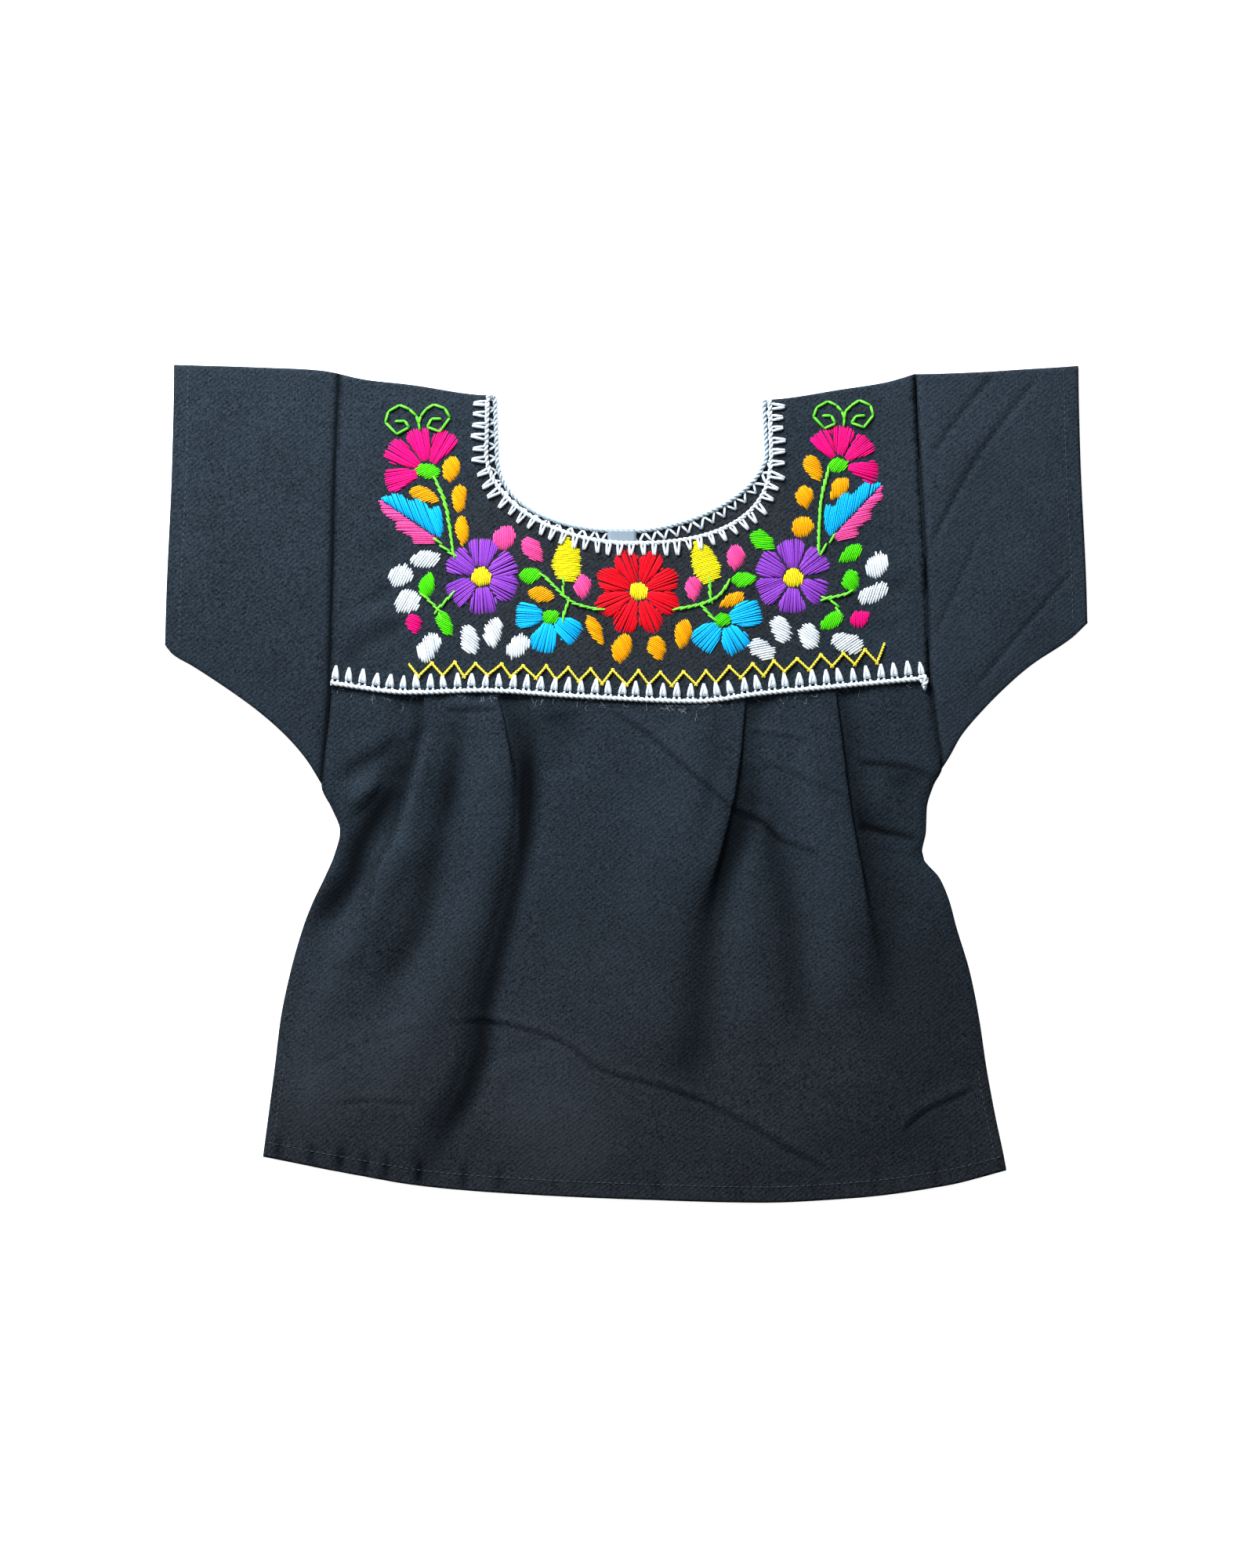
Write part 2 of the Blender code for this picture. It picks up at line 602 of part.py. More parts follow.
def inset(points, margin):
    """The same outline drawn in towards its middle by about margin."""
    middle_x = sum(p[0] for p in points) / len(points)
    middle_y = sum(p[1] for p in points) / len(points)
    drawn = []
    for x, y in points:
        distance = hypot(x - middle_x, y - middle_y)
        share = max(0.25, 1 - margin / max(distance, 0.1))
        drawn.append((mix(middle_x, x, share), mix(middle_y, y, share)))
    return drawn


def embroidery_outlines():
    """Every satin-stitched petal, flower centre, leaf and wing, as closed outlines in X and Y."""
    outlines = []
    for flower in FLOWERS:
        for angle in flower.angles:
            turn = radians(angle)
            x, y = flower.x + flower.inner * cos(turn), flower.y + flower.inner * sin(turn)
            petal = shape_points(PETAL, flower.reach - flower.inner, flower.width / 2)
            outlines.append(placed(petal, x, y, angle))
    for disc in FLOWER_CENTRES:
        corners = [2 * pi * i / DISC_CORNERS for i in range(DISC_CORNERS)]
        outlines.append([(disc.x + disc.radius * cos(a), disc.y + disc.radius * sin(a)) for a in corners])
    for leaf in LEAVES:
        points = shape_points(LEAF, leaf.length, leaf.width / 2)
        centred = [(a - leaf.length / 2, b) for a, b in points]
        outlines.append(placed(centred, leaf.x, leaf.y, leaf.angle))
    for wing in WINGS:
        for width in (wing.upper, wing.lower):
            side = 1 if width > 0 else -1
            half = shape_points(WING, wing.length, abs(width), side)
            outlines.append(placed(half, wing.x, wing.y, wing.angle))
    return outlines


def inside(outline, x, y):
    crossings = 0
    for (ax, ay), (bx, by) in zip(outline, outline[1:] + outline[:1]):
        if (ay > y) != (by > y) and x < ax + (y - ay) / (by - ay) * (bx - ax):
            crossings += 1
    return crossings % 2 == 1


def on_or_inside(outline, x, y):
    for (ax, ay), (bx, by) in zip(outline, outline[1:] + outline[:1]):
        along = ((x - ax) * (bx - ax) + (y - ay) * (by - ay)) / ((bx - ax) ** 2 + (by - ay) ** 2)
        along = min(1.0, max(0.0, along))
        if hypot(x - mix(ax, bx, along), y - mix(ay, by, along)) < HAIR:
            return True
    return inside(outline, x, y)


def triangulate(loops, rings, loose):
    """Triangles of the yoke pattern: inside the first loop and outside the second."""
    points, edges = [], []
    for ring in loops + rings:
        first = len(points)
        points += ring
        edges += [(first + i, first + (i + 1) % len(ring)) for i in range(len(ring))]
    points += loose
    verts, _, faces, _, _, _ = delaunay_2d_cdt([Vector(p) for p in points], edges, [], 0, 1e-5)
    outer, hole = loops
    kept = []
    for face in faces:
        x = sum(verts[i].x for i in face) / 3
        y = sum(verts[i].y for i in face) / 3
        if inside(outer, x, y) and not inside(hole, x, y):
            kept.append(tuple(face))
    return [tuple(v) for v in verts], kept


def yoke_loops():
    """The yoke's cut outline and its neck hole in the flat pattern."""
    across, down = YOKE_STEPS
    low_left = (left_side(48.5), 48.5)
    low_right = (right_side(51), 51)

    def seam_row(face):
        xs = [mix(low_left[0], low_right[0], i / across) for i in range(across + 1)]
        return [(x, pattern_q(x, yoke_seam(x), face)) for x in xs]

    def side_column(side_x, face, top_y):
        ys = [mix(yoke_seam(side_x(50)), top_y, i / down) for i in range(1, down)]
        return [(side_x(y), pattern_q(side_x(y), y, face)) for y in ys]

    right_x, left_x = right_side(199), left_side(199)
    outer = seam_row(1) + side_column(right_side, 1, shoulder_line(right_x))
    outer += [(right_x, q) for q in SHOULDER_BENDS]
    outer += side_column(right_side, -1, shoulder_line(right_x))[::-1]
    outer += seam_row(-1)[::-1] + side_column(left_side, -1, shoulder_line(left_x))
    outer += [(left_x, q) for q in SHOULDER_BENDS[::-1]]
    outer += side_column(left_side, 1, shoulder_line(left_x))[::-1]

    front = neckline(FRONT_NECK, EDGING_STAND_OFF)
    back = neckline(BACK_NECK, EDGING_STAND_OFF)
    hole = [(x, pattern_q(x, y, 1)) for x, y in front]
    hole += [(mix(front[-1][0], back[-1][0], 0.5), q) for q in SHOULDER_BENDS]
    hole += [(x, pattern_q(x, y, -1)) for x, y in reversed(back)]
    hole += [(mix(front[0][0], back[0][0], 0.5), q) for q in SHOULDER_BENDS[::-1]]
    return outer, hole


def shoulder_points():
    """Points along both shoulders where the pattern bends, so that its faces follow the fold."""
    spots = []
    for side in (-1, 1):
        xs = [side * x for x in range(SHOULDER_NEAR, SHOULDER_FAR, YOKE_GRID)]
        spots += [(x, q) for x in xs for q in SHOULDER_BENDS]
    return spots


def yoke(cloth):
    """One piece of cloth with a neck hole, folded over the shoulders, satin stitch raised on its front."""
    loops = list(yoke_loops())
    outlines = embroidery_outlines()
    rings, raised = [], []
    for outline in outlines:
        rings.append([(x, pattern_q(x, y, 1)) for x, y in outline])
        top = inset(outline, SATIN_SHOULDER)
        raised.append([(x, pattern_q(x, y, 1)) for x, y in top])
    folds = shoulder_points()
    across = range(-SHOULDER_FAR, SHOULDER_FAR, YOKE_GRID)
    grid = [(x, q) for x in across for q in range(YOKE_GRID, YOKE_DEEPEST, YOKE_GRID)]
    grid = [p for p in grid if inside(loops[0], *p) and not inside(inset(loops[1], -NECK_CLEARANCE), *p)]
    clear = [p for p in grid if not any(inside(inset(ring, -SATIN_CLEARANCE), *p) for ring in rings)]

    shape = bmesh.new()
    skins = []
    for outside in (True, False):
        loose = folds + (clear if outside else grid)
        verts, faces = triangulate(loops, rings + raised if outside else [], loose)
        skin = {}
        made = []
        for x, q in verts:
            lift = WALL / 2 if outside else -WALL / 2
            if outside and q > 0 and any(on_or_inside(ring, x, q) for ring in raised):
                lift += SATIN_HEIGHT
            vert = shape.verts.new(Vector(fold_over(x, q, lift)) * MM)
            skin[(round(x, 3), round(q, 3))] = vert
            made.append(vert)
        for face in faces:
            corners = [made[i] for i in face]
            shape.faces.new(corners if outside else corners[::-1])
        skins.append(skin)
    outer_skin, inner_skin = skins
    for loop in loops:
        keys = [(round(x, 3), round(q, 3)) for x, q in loop]
        for a, b in zip(keys, keys[1:] + keys[:1]):
            shape.faces.new((outer_skin[a], outer_skin[b], inner_skin[b], inner_skin[a]))
    bmesh.ops.delete(shape, geom=[v for v in shape.verts if not v.link_faces], context="VERTS")
    bmesh.ops.recalc_face_normals(shape, faces=shape.faces)
    mesh = bpy.data.meshes.new("yoke")
    shape.to_mesh(mesh)
    shape.free()
    return add_object("yoke", mesh, cloth)


def resampled(points, step):
    """The same line with points about a step apart."""
    walked = [0.0]
    for a, b in zip(points, points[1:]):
        walked.append(walked[-1] + hypot(b[0] - a[0], b[1] - a[1]))
    count = max(2, round(walked[-1] / step))
    even = []
    for i in range(count + 1):
        goal = walked[-1] * i / count
        k = min(bisect_right(walked, goal), len(walked) - 1)
        share = (goal - walked[k - 1]) / (walked[k] - walked[k - 1])
        even.append((mix(points[k - 1][0], points[k][0], share), mix(points[k - 1][1], points[k][1], share)))
    return even


def neck_edging(thread):
    """White yarn along the raw edge of the neck: round the front, over a shoulder and round the back."""
    front_z = FRONT_MID + YOKE_LOFT + EDGING_RISE
    back_z = EDGING_RADIUS + EDGING_LIFT
    front = [(x, y, front_z) for x, y in resampled(neckline(FRONT_NECK, 0), EDGING_STEP)]
    back = [(x, y, back_z) for x, y in resampled(neckline(BACK_NECK, 0), EDGING_STEP)]

    def turn(start, end):
        top = max(start[1], end[1]) + FOLD_RADIUS + WALL
        middle = (mix(start[0], end[0], 0.5), top, mix(start[2], end[2], 0.5))
        return [middle]

    path = front + turn(front[-1], back[-1]) + back[::-1] + turn(back[0], front[0])
    return yarn("neck_edging", path, EDGING_RADIUS, thread, closed=True)


def yoke_edging(thread):
    """White yarn couched along the yoke seam."""
    line = [(x, yoke_seam(x) + EDGING_STAND_OFF) for x in range(*YOKE_EDGING_REACH)]
    path = [(x, y, FRONT_MID + yoke_loft(x, y) + WALL / 2 + SEAM_GAP + EDGING_RADIUS) for x, y in line]
    return yarn("yoke_edging", path, EDGING_RADIUS, thread)


def neck_label(satin):
    half = LABEL_WIDTH / 2
    low = LABEL_TOP_Y - LABEL_LENGTH
    left, right = LABEL_X - half, LABEL_X + half
    outline = [(left, low), (right, low), (right, LABEL_TOP_Y), (left, LABEL_TOP_Y)]
    return flat_piece("neck_label", outline, WALL + SEAM_GAP, LABEL_THICKNESS, satin)


for old in list(bpy.data.objects):
    bpy.data.objects.remove(old)

blouse = bpy.data.collections.new("embroidered blouse")
bpy.context.scene.collection.children.link(blouse)

black_cloth = material("black cotton twill", CLOTH_COLOUR, 0.9)
white_yarn = material("white acrylic yarn", YARN_COLOUR, 0.8)
label_satin = material("woven label satin", LABEL_COLOUR, 0.5)

back_skirt(black_cloth)
front_skirt(black_cloth)
yoke(black_cloth)
sleeve("sleeve_left", -1, LEFT_SLEEVE, black_cloth)
sleeve("sleeve_right", 1, RIGHT_SLEEVE, black_cloth)
neck_edging(white_yarn)
yoke_edging(white_yarn)
neck_label(label_satin)
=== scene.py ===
from collections import namedtuple

import bpy
import numpy as np
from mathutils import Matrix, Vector
from mathutils.bvhtree import BVHTree
from mathutils.geometry import delaunay_2d_cdt


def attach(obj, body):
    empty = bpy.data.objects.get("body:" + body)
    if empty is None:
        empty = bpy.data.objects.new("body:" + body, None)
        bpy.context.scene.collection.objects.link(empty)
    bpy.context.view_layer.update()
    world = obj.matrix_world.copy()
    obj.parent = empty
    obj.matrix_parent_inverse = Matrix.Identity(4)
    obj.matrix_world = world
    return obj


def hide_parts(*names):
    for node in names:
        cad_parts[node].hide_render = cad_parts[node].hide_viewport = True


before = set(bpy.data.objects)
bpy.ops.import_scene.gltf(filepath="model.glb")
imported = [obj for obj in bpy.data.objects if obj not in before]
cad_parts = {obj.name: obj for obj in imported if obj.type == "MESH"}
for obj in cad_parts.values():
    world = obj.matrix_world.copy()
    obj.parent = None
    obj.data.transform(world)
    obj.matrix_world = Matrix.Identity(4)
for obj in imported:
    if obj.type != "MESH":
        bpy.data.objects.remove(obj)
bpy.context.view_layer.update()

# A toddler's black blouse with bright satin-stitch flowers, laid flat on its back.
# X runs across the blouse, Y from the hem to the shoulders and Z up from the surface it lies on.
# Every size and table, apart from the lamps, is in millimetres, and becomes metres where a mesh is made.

MM = 0.001


def rows_of(kind, *values):
    """A table with named columns."""
    return tuple(kind(*value) for value in values)


# Cloth layers: the back lies on the surface and the front lies on the back
CLOTH = 0.6
BACK_MID = CLOTH / 2
FRONT_MID = 2.0
FOLD_RADIUS = (FRONT_MID - BACK_MID) / 2

# Side lines of the body: the armhole seams down to the underarm, then the side seams to the hem
SideRow = namedtuple("SideRow", "y left_x right_x")
SIDE_LINES = rows_of(
    SideRow,
    (-205, -178.5, 187.0), (-183, -176.2, 183.4), (-160, -173.2, 178.6), (-137, -170.2, 174.4),
    (-114, -167.4, 171.0), (-91, -162.6, 166.4), (-69, -156.3, 159.8), (-57, -151.6, 156.6),
    (-46, -146.3, 152.0), (-34, -141.2, 143.2), (-23, -138.6, 145.2), (-12, -142.6, 145.6),
    (-1, -147.6, 148.8), (8, -147.2, 153.0), (25, -145.6, 150.6), (42, -144.2, 148.4), (57, -143.8, 146.6),
    (101, -142.6, 145.4), (146, -141.6, 142.8), (199, -139.3, 139.6),
)

# The yoke seam, the hem and the shoulder folds, as points across the blouse
YOKE_SEAM = ((-145, 48.5), (-104, 43.6), (-70, 44.6), (-24, 41.8), (34, 39.4), (64, 43.0), (104, 46.8),
             (150, 51.0))
HEM = ((-178, -180.4), (-133, -189.0), (-97, -195.0), (-57, -198.3), (4, -201.2), (65, -202.8),
       (110, -200.6), (156, -194.4), (186, -187.0))
SHOULDER_LINE = ((-139.6, 198.6), (-126, 195.6), (-106, 193.4), (-66, 188.0), (66, 186.0), (106, 191.2),
                 (126, 194.4), (139.8, 198.4))

# Neck opening: straight sides below the shoulders, then two superellipse quarters
NeckRow = namedtuple(
    "NeckRow", "middle_x left right top_left top_right curve_top bottom power_left power_right")
FRONT_NECK = NeckRow(1.5, 69.4, 68.8, 67.0, 69.4, 160, 116.2, 1.9, 2.5)
BACK_NECK = NeckRow(2.0, 64.6, 66.0, 63.6, 66.6, 160, 122.2, 2.25, 1.75)
NECK_STEPS = 44
NECK_SIDE_SHARES = (0.15, 0.3, 0.45, 0.6, 0.75, 0.86)

# Sleeves, from the armhole (0) to the cuff (1) along the folded top and the underarm curve
SleeveRow = namedtuple("SleeveRow", "along low_y top_y")
LEFT_SLEEVE = rows_of(
    SleeveRow,
    (0.0, -0.4, 198.6), (0.1, 11.0, 200.0), (0.24, 22.6, 200.9), (0.41, 34.0, 201.4), (0.61, 45.4, 202.0),
    (0.83, 56.8, 202.5), (0.95, 62.4, 202.8), (1.0, 67.0, 202.9),
)
RIGHT_SLEEVE = rows_of(
    SleeveRow,
    (0.0, 7.2, 198.4), (0.06, 13.2, 198.4), (0.16, 23.2, 198.6), (0.3, 34.2, 199.0), (0.46, 45.6, 199.6),
    (0.65, 57.6, 200.6), (0.9, 70.4, 201.8), (1.0, 77.6, 202.4),
)
CUFF_TOP_X, CUFF_MIDDLE_X, CUFF_LOW_X = 219.0, 222.0, 224.0
SLEEVE_PUFF = 0.9
SLEEVE_STATIONS, SLEEVE_POINTS = 60, 180
SLEEVE_ROUNDING = 0.22
CUFF_FLATNESS, CUFF_FADE, SLEEVE_START, STATION_POWER = 0.45, 22, (0.1, -0.8), 1.15

# Pleats from left to right. side is the way a fold edge faces, line its (y, x) points, sharp how far below
# the seam it stays folded, soft where its step has died out, hollow how wide the painted shade beside it is
PleatRow = namedtuple("PleatRow", "side line sharp soft hollow")
PLEATS = rows_of(
    PleatRow,
    (-1, ((-190, -136), (-90, -127), (-43.6, -119.9), (-28, -112.6), (-9.2, -106.3), (10.6, -101.1),
     (29, -98), (42, -97.6)), 86, 165, 5.0),
    (1, ((-190, -96), (-90, -69.5), (-36, -51.6), (0, -53.6), (26, -58.4), (33.5, -59.9), (43, -62.5)), 24,
     100, 7.0),
    (1, ((-190, 33), (-90, 34.6), (-30, 46.6), (-5.5, 52.5), (12.6, 55.2), (41, 57.8)), 72, 135, 8.5),
    (1, ((-190, 128), (-90, 121.5), (-46, 114.9), (-30, 111.7), (-3.4, 107.4), (13.7, 105.3), (43, 101.5)),
     90, 170, 6.0),
)
PLEAT_DEPTH = 8.0
PLEAT_LEAD = 3.0
PLEAT_OPENING = 14.0
LAYER_TURNS = (0.35, 0.55)
STEP_HALF_WIDTHS = (1.3, 9.0)
PANEL_COLUMNS = (30, 24, 78, 28, 30)
PANEL_SAG = 0.3
SKIRT_ROWS, SECTION_STEP = 188, 4
PRESSED_DROP = 46.0

# Soft folds of the front: positive heights are ridges, negative ones troughs, from start to end
FoldRow = namedtuple("FoldRow", "points widths heights")
SKIRT_FOLDS = rows_of(
    FoldRow,
    (((-50, 30), (-47, 19), (-48, -12), (-52, -38), (-58, -64), (-64, -88), (-69, -109), (-71, -130),
     (-78, -150), (-90, -170), (-96, -186)), (5.5, 8.5), (-2.1, -2.5)),
    (((-85, 10.6), (-89, -10), (-94, -44), (-100, -70), (-109, -87), (-121, -104)), (6, 8), (-1.5, -1.1)),
    (((-107, 12), (-118, -10), (-128, -28), (-133, -44), (-143, -58), (-154, -68)), (6, 8), (-2.5, -2.2)),
    (((-98, 26), (-118, 14), (-140, 2)), (4, 4), (-0.8, -1.1)),
    (((-82, 30), (-83, 4), (-85, -22)), (6, 5), (-1.2, -0.8)),
    (((-33, 36), (-31, 22), (-33, 2)), (11, 12), (-1.0, -0.5)),
    (((63, -2), (53, -33), (41, -64), (37, -95), (34, -130), (30, -156)), (7, 12), (-1.5, -1.3)),
    (((69, -12), (72, -34), (78, -60), (80.8, -84), (84, -124)), (6, 9), (-1.3, -1.1)),
    (((114, -2), (121, -30), (127, -56), (125, -86), (124, -120)), (8, 13), (-1.0, -1.0)),
    (((145, -36), (126, -24), (109, -12)), (5, 5), (-0.6, -0.3)),
    (((112, 24), (124, 8), (142, -4)), (7, 7), (-0.6, -0.7)),
    (((-67, 34), (-65, 0), (-68, -33), (-78, -68), (-92, -98), (-104, -125), (-112, -150)), (8, 14),
     (1.2, 1.6)),
    (((-98, 16), (-104, -17), (-109, -40)), (5, 6), (0.9, 0.9)),
    (((-113, -32), (-120, -52), (-128, -72), (-139, -90)), (7, 9), (1.4, 1.3)),
    (((-106, 2), (-122, -2), (-136, -11)), (4, 5), (0.8, 0.9)),
    (((-10, 20), (-4, -60), (-10, -150)), (34, 40), (0.4, 0.7)),
    (((22, 30), (30, 0), (24, -50)), (14, 18), (0.7, 0.5)),
    (((68, 28), (64, 6)), (7, 8), (0.8, 0.7)),
    (((60, -30), (58, -60), (57, -90), (60, -130)), (7, 11), (0.4, 0.9)),
    (((90, 24), (95, -20), (100, -60), (104, -112)), (10, 12), (1.0, 1.2)),
    (((-140, -90), (-150, -120), (-154, -168)), (10, 15), (0.9, 0.9)),
    (((-46, -128), (-36, -160), (-24, -196)), (24, 24), (0.9, 1.0)),
)
# Painted shade and painted light alone, without a fold: patches drawn darker or lighter
SKIRT_PAINTED_SHADING = rows_of(
    FoldRow,
    (((-126, -112), (-124, -134), (-112, -152)), (24, 22), (0.35, 0.35)),
    (((-150, -132), (-152, -170)), (14, 12), (0.3, 0.35)),
    (((-50, -140), (-36, -165), (-22, -194)), (26, 22), (0.3, 0.5)),
    (((146, -66), (150, -110), (140, -150), (132, -182)), (20, 26), (-0.3, -0.26)),
    (((100, -158), (96, -184)), (16, 18), (-0.14, -0.14)),
    (((24, -122), (28, -140)), (14, 12), (-0.2, -0.16)),
)
YOKE_FOLDS = rows_of(
    FoldRow,
    (((-108, 78), (-118, 72), (-128, 66), (-137, 57)), (3.4, 5), (-0.9, -0.7)),
    (((-113, 96), (-127, 87)), (3, 4), (-0.7, -0.4)),
    (((-112, 117), (-128, 109)), (4, 5), (-0.5, -0.3)),
    (((-116, 85), (-130, 77)), (4, 5), (0.5, 0.4)),
    (((-120, 66), (-128, 60)), (4, 4), (0.4, 0.4)),
    (((124, 92), (136, 97)), (4, 4), (-0.5, -0.6)),
    (((122, 76), (132, 72)), (3, 4), (-0.5, -0.4)),
    (((-128, 100), (-132, 140), (-128, 180)), (9, 11), (0.1, 0.15)),
)
SLEEVE_FOLDS = rows_of(
    FoldRow,
    (((-158, 30), (-172, 80), (-178, 150)), (16, 20), (0.4, 0.7)),
    (((-196, 76), (-206, 120), (-208, 180)), (10, 12), (0.5, 0.4)),
    (((192, 196), (166, 162), (152, 140)), (7, 7), (0.5, 0.6)),
    (((214, 140), (196, 110), (172, 74)), (11, 11), (0.5, 0.6)),
)

# Creases pressed in by folding: a narrow groove with a raised side (1 left, -1 right). The painted
# shading also draws the groove as a dark line and the raised side lighter
CreaseRow = namedtuple("CreaseRow", "points depth width raised")
SKIRT_CREASES = rows_of(
    CreaseRow,
    (((-10.3, 36.7), (8.4, 25.1), (23.2, 12.6), (39.1, -1.3), (53, -13), (65.8, -18.3), (74.4, -26.8),
     (87.2, -32), (103.2, -38.6)), 0.5, 1.25, 1),
    (((64, 11), (80, 5), (96, -2.4), (108, -7)), 0.3, 1.2, 1),
    (((-142, -155), (-124, -154), (-99.6, -155)), 0.3, 1.2, 1),
    (((-154.7, -138.5), (-121.6, -123.9), (-91.2, -116.5)), 0.16, 1.3, 1),
    (((-91.2, -116.5), (-66.9, -115.3), (-42.6, -121), (-27, -127.5), (-12.5, -138.5), (8, -144.6),
     (24.7, -149.2), (43.3, -156.8), (62, -166.6), (80.9, -178), (109.8, -192.5)), 0.5, 1.25, 1),
    (((132.6, -169.3), (144, -159), (156.6, -153), (169.1, -147.3)), 0.5, 1.4, 1),
    (((111, 10.1), (124.6, 9.3), (136.4, 7.5), (150.5, 2.5)), 0.45, 1.3, 1),
    (((112.1, -20.3), (136.4, -26), (142.1, -28.3)), 0.5, 1.4, -1),
    (((59.4, 24.4), (70.1, 23.8), (89.3, 20.1)), 0.3, 1.2, 1),
    (((-88.6, 35.6), (-75, 35.2), (-61.5, 35.6)), 0.45, 1.3, 1),
)
SLEEVE_CREASES = rows_of(
    CreaseRow,
    (((179, 200), (162, 179), (147.5, 159)), 0.55, 1.3, 1),
    (((201, 200), (171.4, 160.2), (156.2, 133.2), (145, 111)), 0.55, 1.2, 1),
    (((172.2, 124.8), (161.1, 97.9), (149, 71)), 0.35, 1.2, 1),
    (((218, 105), (191.5, 74.3), (167, 44)), 0.5, 1.2, 1),
)
# The swelling beside a crease: how far off, how wide and how high, as shares of its width and depth
SWELL_PLACE, SWELL_WIDTH, SWELL_HEIGHT = 2.6, 1.9, 0.22
# The shares of a line over which a fold or a crease dies out, at its start and at its end
FOLD_ENDS, CREASE_ENDS = ((-0.12, 0.16), (-0.12, 0.2)), ((0.0, 0.12), (0.0, 0.12))

# Small puckers that the hem stitching draws up: where across the blouse, and how deep
PuckerRow = namedtuple("PuckerRow", "x depth")
HEM_PUCKERS = rows_of(
    PuckerRow,
    (-169, 0.4), (-153, 0.35), (-139, 0.5), (-127, 0.4), (-117, 0.4), (-101, 0.5), (-79, 0.4), (-62, 0.3),
    (-35, 0.2), (14, 0.2), (53, 0.15), (91, 0.2), (120, 0.25), (149, 0.2),
)
PUCKER_WIDTH, PUCKER_HEIGHT, PUCKER_LEAN = 2.1, 17.0, 0.1

# How far the front lies off the back, how that fades towards its edges, and how the edges roll and tuck in
SKIRT_LOFT, YOKE_LOFT, SEAM_LOFT = 2.0, 0.8, 1.4
SIDE_FADE, EDGE_LOFT = 26.0, 0.35
SEAM_RISE, HEM_FADE, SHOULDER_FADE = 30.0, 40.0, 14.0
HIGHEST_LOFT, ROUND_OVER = 6.0, 1.5
DRAPE, TROUGH_FLOOR = 1.6, 0.25
LOOSE_BELOW_SEAM, LOOSE_BESIDE_EDGE, LEAST_LOOSE, LEAST_GAP = 16.0, (1.0, 12.0), 0.2, 0.05
SIDE_ROLL, SIDE_ROLL_WIDTH = 1.05, 2.2
TUCK, TUCK_LENGTH = 1.0, 1.3
YOKE_EDGE_DIP, SLEEVE_EDGE_DIP, DIP_WIDTH = 0.5, 1.05, 1.9
# Painted shade at the armhole seam: how dark, how wide, and the heights over which it fades in at the
# underarm
ARMHOLE_PAINTED_SHADE, ARMHOLE_WIDTH, UNDERARM = 1.1, 1.2, (-6.0, 6.0)

# Where the hem meets the left and right side, and the grid of the lower back
HEM_CORNERS = (-180, -188)
BACK_ROWS, BACK_COLUMNS = 48, 61

# Lumps of handled cloth: a seed, how far apart they are and how high
LUMP_WAVES, LUMP_SIZES = 14, (0.7, 1.9)
LUMPS = {
    "skirt": (3, 46, 0.1), "skirt fine": (4, 17, 0.02), "yoke": (5, 24, 0.07), "yoke fine": (6, 11, 0.025),
    "sleeve": (8, 40, 0.08), "sleeve fine": (9, 15, 0.02),
}

# Painted shading: how much it darkens troughs, creases, puckers and the cloth beside pleats and lightens
# ridges, and how much lighter it paints the right side, and where
TROUGH_PAINTED_SHADE, RIDGE_PAINTED_LIGHT, CREASE_PAINTED_SHADING, PUCKER_PAINTED_SHADE, PLEAT_PAINTED_SHADE = 0.42, 0.22, 1.3, 1.8, 0.6
YOKE_TROUGH_PAINTED_SHADE, YOKE_RIDGE_PAINTED_LIGHT = 0.5, 0.3
RIGHT_PAINTED_LIGHT, PAINTED_LIGHT_REACH = 0.25, (112, 130)

# The net of points that the yoke is made of, and how many lie over a shoulder, down a side and on the seam
YOKE_GRID, YOKE_REACH = 2.6, 155
BEND_POINTS, SIDE_POINTS, SEAM_POINTS = 7, 50, 96

# Satin-stitched shapes: half widths along a unit axis from base to tip
Shape = namedtuple("Shape", "alongs half_widths")
PETAL = Shape((0, 0.3, 0.6, 0.82, 0.95, 1), (0.5, 0.84, 1.0, 0.98, 0.78, 0.42))
POINTED_PETAL = Shape((0, 0.3, 0.6, 0.8, 0.93, 1), (0.5, 0.86, 1.0, 0.84, 0.48, 0.12))
LEAF = Shape((0, 0.06, 0.24, 0.46, 0.78, 1), (0.1, 0.46, 0.86, 1.0, 0.66, 0.06))
RAGGED_LEAF = Shape((0, 0.2, 0.5, 0.82, 1), (0.34, 0.86, 1.0, 0.84, 0.36))
BUD = Shape((0, 0.14, 0.42, 0.74, 1), (0.5, 0.86, 1.0, 0.74, 0.08))
WING = Shape((0, 0.12, 0.27, 0.33, 0.5, 0.57, 0.63, 0.8, 0.88, 0.92, 1),
             (0.3, 0.7, 1.0, 0.74, 0.86, 0.88, 0.55, 0.56, 0.5, 0.3, 0.06))

# Threads of satin stitch: how thick, how far apart, how high, and how they dive in at both ends
THREAD_RADIUS, THREAD_SPACING = 0.46, 0.86
SATIN_HEIGHT, SHORTEST_THREAD = 0.8, 0.8
WHITE_SPACING, PETAL_SPACING, PETAL_GAP, PETAL_FOCUS = 1.15, 0.76, 0.4, 20.0
THREAD_SHARE = 0.53  # of the spacing, as the radius of a leaf's threads
SATIN_BEND = (0.0, 0.07, 0.24, 0.5, 0.76, 0.93, 1.0)

